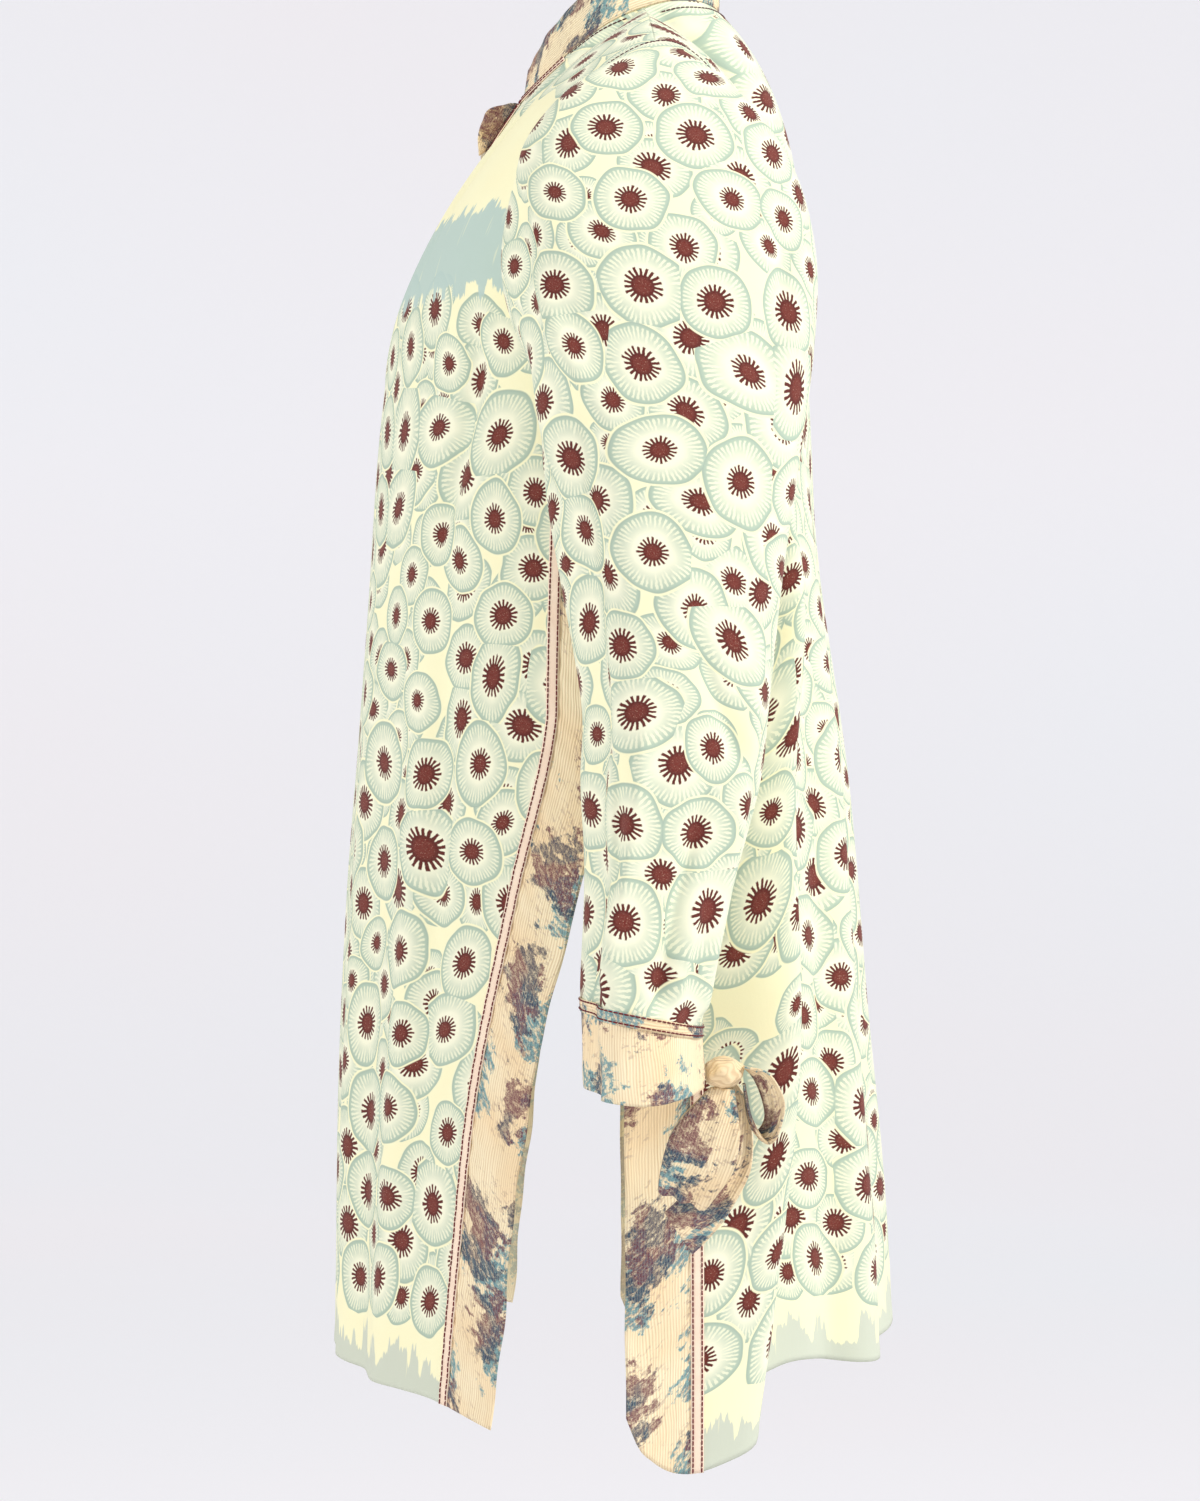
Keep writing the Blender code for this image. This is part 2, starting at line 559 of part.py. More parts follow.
def sleeve_fold(angle, section):
    """Long fold down the sleeve: the cloth steps out behind the fold's line and eases back round the outside."""
    growth = np.clip((section - FOLD_SECTIONS[0]) / (FOLD_SECTIONS[1] - FOLD_SECTIONS[0]), 0.0, 1.0)
    growth = growth * growth * (3.0 - 2.0 * growth)
    past = np.radians(FOLD_ANGLE) - angle
    step = 1.0 / (1.0 + np.exp(-FOLD_SHARPNESS * past))
    fade = np.exp(-((np.clip(past, 0.0, None) / FOLD_FADE) ** 2))
    dip = np.exp(-(((past - FOLD_DIP["at"]) / FOLD_DIP["width"]) ** 2))
    return FOLD_DEPTH * growth * (step * fade - FOLD_DIP["share"] * dip)


def sleeve_points(turns, sections):
    """Points of the left sleeve; sections counts from 0 at the armhole to 11 at the cuff's lower edge."""
    rings = sleeve_sections(turns)
    knots = np.concatenate(((0.0, SLEEVE_LEAD), np.arange(1, len(rings) - 1)))
    grid = smooth(knots, rings, sections)
    angle = 2.0 * np.pi * turns
    angle = np.where(angle > np.pi, angle - 2.0 * np.pi, angle)
    push = sleeve_fold(angle[None, :], np.asarray(sections)[:, None])
    grid[..., 0] += push * np.cos(angle) * FOLD_PUSH_X
    grid[..., 1] -= push * np.sin(angle) * FOLD_PUSH_Y
    return grid


def sleeve_columns(slit_half_angle):
    """Columns round a sleeve, from one side of the opening at the back round to the other, in turns."""
    back = 0.75
    half = slit_half_angle / 360.0
    inner = back + np.arange(1, SLEEVE_STEPS) / SLEEVE_STEPS
    return np.concatenate(((back + half,), inner, (back + 1.0 - half,))) % 1.0


def open_tube(sections, slit_angles):
    """A stretch of sleeve that is open along the back by its own slit angle at each section."""
    rows = []
    for section, angle in zip(sections, slit_angles):
        rows.append(sleeve_points(sleeve_columns(angle), np.array([section]))[0])
    return np.array(rows)


def main_sleeve(material):
    """The sleeve from the armhole to the cuff: a tube whose last rows are slit at the back of the wrist."""
    slit_rows = len(SLEEVE_SLIT_HALF_ANGLES)
    sections = SLEEVE_ROW_SECTIONS + (CUFF_TOP_SECTION - FLAT_SEAM_INSET / ABOVE_CUFF_HEIGHT,)
    half_angles = (0.0,) * (len(sections) - slit_rows) + SLEEVE_SLIT_HALF_ANGLES
    rings = sleeve_sections(sleeve_columns(0.0))
    leave = rings[1] - rings[0]
    leave /= np.linalg.norm(leave, axis=1, keepdims=True)
    rows = [rings[0] + ARMHOLE_INSET * leave]
    for section, half_angle in zip(sections, half_angles):
        rows.append(sleeve_points(sleeve_columns(half_angle), np.array([section]))[0])
    grid = np.array(rows)
    slit_tube("sleeve_left", grid, slit_rows, material)
    slit_tube("sleeve_right", mirrored(grid), slit_rows, material)


def slit_tube(name, grid, slit_rows, material):
    """A tube whose first and last columns are the same points except in its last rows, where it is slit."""
    rows, columns = grid.shape[:2]
    index = np.arange(rows * columns).reshape(rows, columns)
    index[: rows - slit_rows, -1] = index[: rows - slit_rows, 0]
    corners = (index[:-1, :-1], index[1:, :-1], index[1:, 1:], index[:-1, 1:])
    faces = np.stack(corners, axis=2).reshape(-1, 4)
    used, order = np.unique(faces, return_inverse=True)
    walled(name, grid.reshape(-1, 3)[used], order.reshape(-1, 4).tolist(), WALL, material)


def collar(material):
    """Stand collar: a band on the neckline, low at its open front ends, whose upper edge leans in."""
    along = np.concatenate((np.linspace(0.0, 0.12, 4), np.linspace(0.2, 1.0, 12)))
    base = neckline(along)
    height = smooth(COLLAR["along"], COLLAR["height"], along)
    lean = smooth(COLLAR["along"], COLLAR["lean"], along)
    inward = -base * (1.0, 1.0, 0.0)
    inward /= np.linalg.norm(inward, axis=1, keepdims=True)
    rows = []
    for share in np.linspace(1.0, 0.0, COLLAR_ROWS):
        point = base + inward * (lean * share)[:, None]
        point[:, 2] += COLLAR_SEAM_LIFT + (height - COLLAR_SEAM_LIFT) * share
        rows.append(point)
    half = np.array(rows)[:, ::-1]
    sheet("collar", both_halves(half), WALL, material)


def on_front_yoke(places):
    """Points and outward normals of the front yoke at the given places, each an x and a z.

    The nearest point of a fine grid is corrected along its own two directions.
    """
    grid = yoke_points("front", np.linspace(0.0, 0.5, 90), np.linspace(0.0, 1.0, 120))
    across = np.gradient(grid, axis=1)
    down = np.gradient(grid, axis=0)
    points = []
    out = []
    for place in places:
        distance = np.linalg.norm(grid[..., (0, 2)] - place, axis=2)
        at = np.unravel_index(distance.argmin(), distance.shape)
        steps = np.stack((across[at], down[at]), axis=1)
        shares = np.linalg.solve(steps[(0, 2), :], place - grid[at][[0, 2]])
        points.append(grid[at] + steps @ shares)
        normal = np.cross(across[at], down[at])
        out.append(-np.sign(normal[1]) * normal / np.linalg.norm(normal))
    return np.array(points), np.array(out)


def edge_tape(name, line, material):
    """A tape on the front yoke along an edge line: seen from the front it keeps its width, also round a corner."""
    flat = line[:, (0, 2)]
    steps = np.diff(flat, axis=0)
    steps /= np.linalg.norm(steps, axis=1, keepdims=True)
    before = np.vstack((steps[:1], steps))
    after = np.vstack((steps, steps[-1:]))
    tangent = (before + after) / (1.0 + (before * after).sum(axis=1, keepdims=True))
    inward = np.stack((tangent[:, 1], -tangent[:, 0]), axis=1)
    columns = []
    for reach in (RIDGE_SEAM_INSET, 0.5 * TAPE_WIDTH, TAPE_WIDTH):
        foreshorten = np.sqrt(inward[:, 0] ** 2 + (YOKE_SLOPE_SHARE * inward[:, 1]) ** 2)[:, None]
        points, out = on_front_yoke(flat + inward * reach * foreshorten)
        columns.append(points + EDGE_TAPE_LIFT * out)
    pair(name, np.stack(columns, axis=1), TAPE_WALL, material)


def front_opening(tape_material, facing_material):
    """Tape round the front opening and under the collar's front, and the facings turned out at the top."""
    line = np.vstack((opening_edge(EDGE_TAPE_OPENING), neckline(EDGE_TAPE_NECKLINE)))
    edge_tape("opening_tape", line, tape_material)
    root = opening_edge(FACING["along"])
    tip = root + np.stack([FACING[axis] for axis in ("out_x", "out_y", "out_z")], axis=1)
    root = root + np.array(FACING_ROOT_SHIFT)
    share = np.linspace(0.0, 1.0, 3)[None, :, None]
    pair("neck_facing", root[:, None] + share * (tip - root)[:, None], WALL, facing_material)


def ribbon(name, path, material):
    """A tie's band: its centre line, half width and the way across it, read smoothly from a short table."""
    centre = np.stack([path[axis] for axis in "xyz"], axis=1)
    across = np.stack([path[axis] for axis in ("across_x", "across_y", "across_z")], axis=1)
    across /= np.linalg.norm(across, axis=1, keepdims=True)
    half = np.array(path["half_width"])[:, None] * across
    knots = np.arange(len(centre))
    where = np.linspace(0.0, knots[-1], 2 * len(centre) - 1)
    middle = smooth(knots, centre, where)
    side = smooth(knots, half, where)
    pair(name, np.stack((middle - side, middle, middle + side), axis=1), WALL, material)


def cuff_tie(material):
    """The bow at the back of each cuff: knot, broad loop, small loop and tail."""
    for side, mirror in (("left", 1.0), ("right", -1.0)):
        bpy.ops.mesh.primitive_ico_sphere_add(subdivisions=2, radius=1.0)
        knot = bpy.context.object
        knot.name = "tie_knot_" + side
        knot.data.materials.append(material)
        for vertex in knot.data.vertices:
            vertex.co = [middle + size * at for middle, size, at in zip(KNOT_CENTRE, KNOT_RADII, vertex.co)]
            vertex.co.x *= mirror
        if mirror < 0.0:
            knot.data.flip_normals()
        knot.data.shade_smooth()
    ribbon("tie_loop_broad", BROAD_LOOP, material)
    ribbon("tie_loop_small", SMALL_LOOP, material)
    ribbon("tie_tail", TIE_TAIL, material)


def cuff(material, tape_material):
    """The cuff below the sleeve, open at the back, and the tape over the seam between them."""
    ends = CUFF_TOP_SECTION + np.array((FLAT_SEAM_INSET / CUFF_HEIGHT, 1.0))
    pair("cuff", open_tube(np.linspace(*ends, len(CUFF_OPEN_HALF_ANGLES)), CUFF_OPEN_HALF_ANGLES), WALL, material)
    half_tape = 0.5 * TAPE_WIDTH / ABOVE_CUFF_HEIGHT
    tape_sections = CUFF_TOP_SECTION + np.array((-half_tape, 0.5 * half_tape))
    tape = open_tube(tape_sections, (0.0, 0.0))[:, 1:-1]
    pair("cuff_tape", tape + CUFF_TAPE_LIFT * outward(tape), TAPE_WALL, tape_material)


def build():
    for old in list(bpy.data.objects):
        bpy.data.objects.remove(old, do_unlink=True)
    flowered = cloth_material("flowered_voile", (0.86, 0.88, 0.76), 0.8)
    crepe = cloth_material("mottled_crepe", (0.70, 0.64, 0.54), 0.85)
    tape = cloth_material("cream_tape", (0.88, 0.72, 0.58), 0.8)
    panel("front", flowered)
    panel("back", flowered)
    side_strip("front", crepe, tape)
    side_strip("back", crepe, tape)
    main_sleeve(flowered)
    cuff(crepe, tape)
    cuff_tie(crepe)
    collar(crepe)
    front_opening(tape, crepe)


build()
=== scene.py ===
"""A thin printed tunic as it is worn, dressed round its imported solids.

Printed voile panels and sleeves, crinkled crepe trims, narrow tapes with rows of stitches, and a bow
at each cuff.
Metres, +Z up. The front faces -Y and the wearer's left is +X. The origin is the centre of the neck's base.
"""

import bpy
import numpy as np
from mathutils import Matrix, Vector


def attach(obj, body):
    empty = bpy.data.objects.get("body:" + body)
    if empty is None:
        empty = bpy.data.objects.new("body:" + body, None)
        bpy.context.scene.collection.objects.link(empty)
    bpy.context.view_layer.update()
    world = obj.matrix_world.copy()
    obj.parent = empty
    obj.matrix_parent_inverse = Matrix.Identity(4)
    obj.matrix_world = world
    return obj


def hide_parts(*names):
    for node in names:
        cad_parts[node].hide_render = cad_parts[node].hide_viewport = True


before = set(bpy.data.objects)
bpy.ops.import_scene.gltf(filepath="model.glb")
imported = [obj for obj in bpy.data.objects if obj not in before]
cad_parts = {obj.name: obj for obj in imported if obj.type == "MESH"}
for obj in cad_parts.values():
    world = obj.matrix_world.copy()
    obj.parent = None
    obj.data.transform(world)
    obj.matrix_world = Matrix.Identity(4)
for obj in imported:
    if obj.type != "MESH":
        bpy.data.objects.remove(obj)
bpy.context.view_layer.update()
BODY = "root"
TURN = 2.0 * np.pi

# The wearer's two sides, and the sign of x there
SIDES = (("left", 1.0), ("right", -1.0))

# Walls of the cloths, and widths and stitches as they are sewn
VOILE = 0.0006
CREPE = 0.0008
COLLAR_WALL = 0.0014
TAPE = 0.0006
TAPE_WIDTH = 0.0070
STRIP_WIDTH = 0.0380
TAPE_LIFT = 0.0009
THREAD = 0.00042
STITCH_PITCH = 0.0029
STITCH_LENGTH = 0.0027
TAPE_STITCH_SHARES = (0.15, 0.85)

# Counts a metre: the voile's threads, the crepe's crinkles, the tape's ribs and the turns of a thread's plies
VOILE_THREADS = 1900.0
CREPE_CRINKLES = 660.0
TAPE_RIBS = 1300.0
THREAD_TURNS = 3000.0

# Heights
YOKE_HEIGHT = -0.214
ARMPIT_HEIGHT = -0.240
LOWEST_LEVEL = -0.830
LEVEL_STEP = 0.006

# Side seam, which is the back strip's free edge below the slit's top
SIDE_SEAM = {
    "height": (-0.200, -0.240, -0.300, -0.450, -0.600, -0.700, -0.830),
    "x": (0.187, 0.188, 0.190, 0.200, 0.212, 0.219, 0.226),
    "y": (-0.005, -0.006, -0.0085, -0.0118, -0.0105, -0.0100, -0.0090),
}

# Front half of the body: centre front, how far the slit opens the edge forward and outward,
# and how far round the edge turns, in degrees
FRONT_LEVELS = {
    "height": (-0.200, -0.240, -0.345, -0.410, -0.500, -0.607, -0.700, -0.830),
    "front_y": (-0.1455, -0.1500, -0.1570, -0.1615, -0.1675, -0.1725, -0.1745, -0.1755),
    "open_forward": (0.0, 0.0, 0.0, 0.0005, 0.0230, 0.0495, 0.0615, 0.0760),
    "open_outward": (0.0, 0.0, 0.0, 0.0, 0.0010, 0.0010, 0.0030, 0.0070),
    "turn": (90.0, 90.0, 90.0, 86.0, 72.0, 60.0, 57.0, 53.0),
}

# Back half of the body: crest and valley of the side fold, the round of the back, centre back
BACK_LEVELS = {
    "height": (-0.200, -0.240, -0.300, -0.450, -0.600, -0.700, -0.830),
    "crest_x": (0.176, 0.182, 0.196, 0.201, 0.203, 0.202, 0.200),
    "crest_y": (0.048, 0.056, 0.078, 0.080, 0.081, 0.070, 0.052),
    "valley_x": (0.150, 0.158, 0.172, 0.172, 0.170, 0.170, 0.167),
    "valley_y": (0.072, 0.073, 0.071, 0.067, 0.064, 0.060, 0.056),
    "round_x": (0.095, 0.097, 0.105, 0.115, 0.115, 0.112, 0.108),
    "round_y": (0.0880, 0.0885, 0.0910, 0.1010, 0.1110, 0.1180, 0.1220),
    "back_y": (0.0955, 0.0965, 0.0975, 0.1155, 0.1285, 0.1395, 0.1500),
}

# Hem heights, by distance from the side edge
FRONT_HEM = {
    "from_edge": (0.000, 0.028, 0.038, 0.100, 0.200, 0.320),
    "height": (-0.777, -0.7705, -0.7685, -0.7655, -0.7625, -0.7620),
}
BACK_HEM = {
    "from_edge": (0.000, 0.006, 0.014, 0.060, 0.078, 0.092, 0.130, 0.200, 0.300),
    "height": (-0.772, -0.787, -0.795, -0.7950, -0.7860, -0.7720, -0.7560, -0.7600, -0.7480),
}

# Neckline of the left half, from the front corner round to the centre back
NECKLINE = {
    "x": (0.032, 0.053, 0.064, 0.070, 0.071, 0.070, 0.060, 0.035, 0.000),
    "y": (-0.066, -0.054, -0.035, -0.014, 0.001, 0.015, 0.030, 0.0415, 0.045),
    "z": (-0.050, -0.042, -0.0265, -0.013, -0.007, -0.003, -0.001, 0.000, 0.000),
}
NECK_SHOULDER_KEY = 4
OPENING_BOTTOM = (0.0, -0.1335, -0.158)
OPENING_MIDDLE = (0.0145, -0.104, -0.106)
SHOULDER_SEAM = {
    "x": (0.071, 0.128, 0.185),
    "y": (0.001, 0.0035, 0.006),
    "z": (-0.007, -0.0235, -0.047),
}

# Armhole of the left side: from the shoulder down the front, and from low at the back up to the shoulder
ARMHOLE_FRONT = {
    "x": (0.185, 0.177, 0.165, 0.167),
    "y": (0.006, -0.040, -0.063, -0.063),
    "z": (-0.047, -0.077, -0.128, -0.178),
}
ARMHOLE_BACK = {
    "x": (0.170, 0.165, 0.176),
    "y": (0.0645, 0.067, 0.040),
    "z": (-0.178, -0.126, -0.066),
}

# Sections of the left sleeve, from just outside the armhole to the cuff's lower edge
SLEEVE_SECTIONS = {
    "outer_x": (0.216, 0.250, 0.275, 0.286, 0.290, 0.293, 0.296, 0.299, 0.304, 0.306, 0.309),
    "outer_z": (-0.062, -0.100, -0.165, -0.240, -0.320, -0.400, -0.439, -0.485, -0.540, -0.5605, -0.601),
    "inner_x": (0.204, 0.209, 0.2115, 0.2120, 0.2110, 0.210, 0.211, 0.2135, 0.217, 0.218, 0.219),
    "inner_z": (-0.2412, -0.247, -0.266, -0.300, -0.350, -0.400, -0.439, -0.485, -0.540, -0.5605, -0.601),
    "centre_y": (0.003, 0.006, 0.010, 0.012, 0.0125, 0.0155, 0.013, 0.008, 0.0, -0.002, -0.001),
    "front_depth": (0.074, 0.080, 0.071, 0.067, 0.056, 0.048, 0.046, 0.039, 0.0325, 0.0305, 0.0300),
    "back_depth": (0.078, 0.083, 0.077, 0.068, 0.058, 0.048, 0.046, 0.039, 0.0325, 0.0305, 0.0300),
}
SLEEVE_LEAD = 0.3
SLEEVE_LEAD_OUT = 0.010
SLEEVE_LEAD_DROP = 0.003
CUFF_TOP_SECTION = 10
CUFF_TOP_SLANT = 0.007
CUFF_HEM_RISE = 0.006
ABOVE_CUFF_HEIGHT = 0.0205
SLIT_SECTION = 9.0
SLIT_HALF_ANGLE = 7.0
CUFF_HALF_ANGLES = (6.0, 5.0, 3.0, 2.0)

# Folds that step one layer of the sleeve over the next: angle round the sleeve at its two ends in degrees,
# sections where it starts, is full, fades and ends, height, how sharp it is, how far it eases off behind its
# line in radians, and the width of cloth tucked under it
SLEEVE_STEPS = (
    {"angles": (43.0, 40.0), "sections": (3.0, 6.0, 12.0, 13.0),
     "height": 0.0075, "sharp": 26.0, "ease": 0.90, "tuck": 0.013},
    {"angles": (63.0, 57.0), "sections": (0.5, 1.3, 2.6, 3.9),
     "height": 0.0045, "sharp": 26.0, "ease": 0.45, "tuck": 0.010},
    {"angles": (-148.0, -140.0), "sections": (4.0, 6.5, 9.0, 10.0),
     "height": 0.0028, "sharp": 14.0, "ease": 0.50, "tuck": 0.008},
)

# How each sleeve's soft folds are drawn out and moved along it, and where its print starts
SLEEVE_CHANGES = {"left": (1.0, 0.0, (0.0, 0.0)), "right": (1.04, 0.008, (2.3, 1.1))}

# Where the crepe pieces' cloth coordinates start, so that neighbours don't show the same clumps
STRIP_STARTS = {"front": 0.7, "back": 1.9}
RIGHT_STRIP_SHIFT = 3.3
CUFF_START = 5.2
COLLAR_START = 8.0
FACING_START = 12.0
TIE_START = 15.0

# Collar: how high it stands and how far its upper edge leans in, along the neckline from front corner to back
COLLAR = {
    "along": (0.0, 0.06, 0.20, 0.40, 0.60, 1.0),
    "height": (0.015, 0.0195, 0.0270, 0.033, 0.035, 0.036),
    "lean": (0.002, 0.002, 0.0035, 0.005, 0.003, -0.001),
}

# Facing turned out at the top of the front opening, down its edge: how far its free edge stands out
FACING = {
    "along": (0.965, 0.93, 0.87, 0.80, 0.73),
    "out_x": (0.000, 0.002, 0.003, 0.002, 0.000),
    "out_y": (-0.0060, -0.0140, -0.0150, -0.0125, -0.0070),
    "out_z": (0.000, 0.001, 0.000, -0.002, -0.004),
}
FACING_ROOT_SHIFT = (-0.0010, -0.0016, 0.0)

# How much of a length up the front yoke shows as height
YOKE_SLOPE_SHARE = 0.82

# The bow at the back of the left cuff
KNOT_CENTRE = (0.262, 0.0398, -0.588)
KNOT_RADII = (0.0090, 0.0105, 0.0085)
KNOT_CLOTH_SHIFT = (20.022, -0.006)
BROAD_LOOP = {
    "x": (0.2645, 0.2705, 0.2710, 0.2690, 0.2640, 0.2590, 0.2560, 0.2555, 0.2600),
    "y": (0.0395, 0.0320, 0.0275, 0.0215, 0.0185, 0.0205, 0.0265, 0.0315, 0.0395),
    "z": (-0.5962, -0.6160, -0.6320, -0.6460, -0.6535, -0.6460, -0.6320, -0.6160, -0.5962),
    "half_width": (0.0060, 0.0160, 0.0180, 0.0150, 0.0125, 0.0140, 0.0165, 0.0150, 0.0060),
    "across_x": (0.0,) * 9,
    "across_y": (1.0,) * 9,
    "across_z": (-0.1, -0.15, -0.3, -0.35, -0.4, -0.35, -0.3, -0.15, -0.1),
}
SMALL_LOOP = {
    "x": (0.2645, 0.2655, 0.2650, 0.2620, 0.2600, 0.2595, 0.2600),
    "y": (0.0501, 0.0595, 0.0655, 0.0640, 0.0590, 0.0535, 0.0504),
    "z": (-0.5850, -0.5905, -0.6040, -0.6170, -0.6215, -0.6120, -0.5940),
    "half_width": (0.0045, 0.0075, 0.0085, 0.0085, 0.0080, 0.0070, 0.0045),
    "across_x": (1.0, 0.8, 0.75, 0.8, 0.9, 1.0, 1.0),
    "across_y": (0.0, 0.5, 0.65, 0.4, 0.3, 0.1, 0.0),
    "across_z": (0.0, 0.3, 0.1, -0.4, -0.3, 0.0, 0.0),
}
TIE_TAIL = {
    "x": (0.2560, 0.2470, 0.2450, 0.2470, 0.2490, 0.2500),
    "y": (0.0430, 0.0462, 0.0445, 0.0350, 0.0255, 0.0170),
    "z": (-0.5940, -0.6085, -0.6340, -0.6520, -0.6640, -0.6720),
    "half_width": (0.0032, 0.0078, 0.0110, 0.0125, 0.0130, 0.0130),
    "across_x": (0.2, 0.2, 0.1, 0.1, 0.0, 0.0),
    "across_y": (1.0, 1.0, 0.9, 0.7, 0.6, 0.6),
    "across_z": (0.3, 0.1, -0.3, -0.7, -0.9, -0.9),
}

# Soft folds of each piece: both ends as metres across from the centre line and up from the hem or cuff, the
# fold's bow to one side, its depth (ridges above 0, troughs below) and its half width
FRONT_FOLDS = {
    "across_low": (0.150, 0.112, 0.070, 0.030, -0.020, -0.066, -0.105, -0.148, 0.172, -0.175, 0.135, -0.128),
    "up_low": (0.00, 0.00, 0.00, 0.02, 0.00, 0.00, 0.05, 0.00, 0.10, 0.12, 0.44, 0.46),
    "across_high": (0.138, 0.098, 0.058, 0.022, -0.012, -0.052, -0.092, -0.130, 0.150, -0.150, 0.165, -0.160),
    "up_high": (0.42, 0.30, 0.47, 0.26, 0.40, 0.33, 0.49, 0.38, 0.47, 0.45, 0.60, 0.61),
    "bow": (0.004, -0.003, 0.006, 0.002, -0.004, 0.005, -0.003, 0.004, 0.003, -0.004, 0.010, -0.009),
    "depth": (0.0028, -0.0022, 0.0020, -0.0016, 0.0018, -0.0021, 0.0024, -0.0026, -0.0024, -0.0020, -0.0030,
              -0.0026),
    "width": (0.016, 0.014, 0.019, 0.013, 0.017, 0.015, 0.018, 0.014, 0.010, 0.011, 0.008, 0.009),
}
BACK_FOLDS = {
    "across_low": (0.110, 0.062, 0.018, -0.030, -0.072, -0.118, 0.140, -0.146, 0.205, -0.205, 0.060, -0.064),
    "up_low": (0.00, 0.00, 0.03, 0.00, 0.00, 0.00, 0.00, 0.02, 0.02, 0.00, 0.50, 0.51),
    "across_high": (0.096, 0.050, 0.012, -0.024, -0.060, -0.104, 0.128, -0.130, 0.185, -0.186, 0.120, -0.118),
    "up_high": (0.50, 0.36, 0.55, 0.42, 0.52, 0.38, 0.46, 0.50, 0.35, 0.30, 0.66, 0.65),
    "bow": (0.005, -0.004, 0.003, 0.005, -0.006, 0.004, -0.003, 0.005, 0.004, -0.003, 0.008, -0.007),
    "depth": (0.0032, -0.0028, 0.0026, -0.0024, 0.0030, -0.0030, -0.0030, 0.0026, 0.0022, -0.0024, -0.0022,
              -0.0024),
    "width": (0.017, 0.015, 0.020, 0.016, 0.018, 0.015, 0.012, 0.013, 0.010, 0.011, 0.012, 0.012),
}
SLEEVE_FOLDS = {
    "across_low": (-0.020, 0.010, -0.055, 0.020, -0.075, -0.010, 0.030, -0.045, -0.100, 0.060, -0.030, 0.012,
                   -0.060),
    "up_low": (0.00, 0.005, 0.00, 0.20, 0.08, 0.20, 0.30, 0.33, 0.24, 0.24, 0.015, 0.05, 0.13),
    "across_high": (-0.034, 0.002, -0.060, 0.042, -0.105, -0.040, 0.080, -0.085, -0.140, 0.115, -0.036, 0.020,
                    -0.022),
    "up_high": (0.13, 0.16, 0.21, 0.33, 0.25, 0.31, 0.41, 0.43, 0.33, 0.34, 0.07, 0.14, 0.20),
    "bow": (0.003, -0.002, 0.004, 0.006, -0.005, 0.004, 0.008, -0.006, -0.005, 0.006, 0.001, -0.002, 0.004),
    "depth": (-0.0028, 0.0022, 0.0026, -0.0020, -0.0026, 0.0016, 0.0024, -0.0022, 0.0018, -0.0024, 0.0018,
              -0.0018, -0.0020),
    "width": (0.0060, 0.0055, 0.0080, 0.0095, 0.0100, 0.0080, 0.0100, 0.0110, 0.0110, 0.0100, 0.0040, 0.0050,
              0.0065),
}

# How much deeper the soft folds are than their tables say
FOLD_SCALE = 1.9

# Where along a yoke's top edge the opening, the neckline and the shoulder seam end
FRONT_YOKE_ENDS = (0.15, 0.38)
BACK_YOKE_END = 0.36

# How the cloth leaves a yoke's top edge, by fraction from the centre
YOKE_SLOPES = {
    "front": {
        "fraction": (0.0, 0.15, 0.38, 1.0),
        "y": (-0.36, -0.52, -0.78, -0.80),
        "z": (-0.93, -0.85, -0.63, -0.60),
    },
    "back": {
        "fraction": (0.0, 0.36, 0.7, 1.0),
        "y": (0.70, 0.80, 0.80, 0.80),
        "z": (-0.70, -0.60, -0.58, -0.55),
    },
}

# Rows and columns of the finished pieces, and points of the rings that the body is read from
FRONT_RING_POINTS = 140
BACK_RING_POINTS = 420
PANEL_YOKE_ROWS = 56
PANEL_SKIRT_ROWS = 176
STRIP_ROWS = 200
STRIP_COLUMNS = 16
TAPE_COLUMNS = 4
SLEEVE_ROWS = 165
SLEEVE_UPPER_ROWS = 26
SLEEVE_COLUMNS = 156
CUFF_ROWS = 26
CUFF_TAPE_ROWS = 5
COLLAR_ROWS = 14
COLLAR_COLUMNS = 72
FACING_ROWS = 24
FACING_COLUMNS = 8
RIBBON_COLUMNS = 11
KNOT_ROWS = 22
KNOT_COLUMNS = 40
SEAM_ROW_POINTS = 120
STITCH_SIDES = 5
STRIP_TAPE_FIRST_ROW = 6


def smooth(knots, values, where):
    """Cubic curve through the values at the knots: each inner slope is the mean of its neighbours' slopes."""
    knots = np.asarray(knots, float)
    values = np.asarray(values, float)
    if knots[0] > knots[-1]:
        knots = knots[::-1]
        values = values[::-1]
    slopes = np.gradient(values, knots, axis=0)
    where = np.clip(np.asarray(where, float), knots[0], knots[-1])
    cell = np.clip(np.searchsorted(knots, where) - 1, 0, len(knots) - 2)
    width = knots[cell + 1] - knots[cell]
    t = (where - knots[cell]) / width
    extra = (1,) * (values.ndim - 1)
    t = t.reshape(t.shape + extra)
    width = width.reshape(width.shape + extra)
    start = (1 + 2 * t) * (1 - t) ** 2 * values[cell] + t * (1 - t) ** 2 * width * slopes[cell]
    end = t * t * (3 - 2 * t) * values[cell + 1] + t * t * (t - 1) * width * slopes[cell + 1]
    return start + end


def ease(value, low, high):
    """0 below low, 1 above high, and t * t * (3 - 2 * t) between them."""
    t = np.clip((value - low) / (high - low), 0.0, 1.0)
    return t * t * (3.0 - 2.0 * t)


def column(table, name, where, along="height"):
    """One named column of a table, read smoothly at any height."""
    return smooth(table[along], table[name], where)


def xyz(table):
    """The x, y and z columns of a table as points."""
    return np.stack([table[axis] for axis in "xyz"], axis=1).astype(float)


def unit(vectors):
    """Vectors divided by their lengths."""
    return vectors / np.linalg.norm(vectors, axis=-1, keepdims=True)


def run(line):
    """Length along a line of points, from 0 at its start."""
    steps = np.linalg.norm(np.diff(line, axis=0), axis=-1)
    return np.concatenate((np.zeros_like(steps[:1]), np.cumsum(steps, axis=0)))


def run_across(grid):
    """Length along each row of a grid, from 0 at its first column."""
    return run(grid.transpose(1, 0, 2)).T


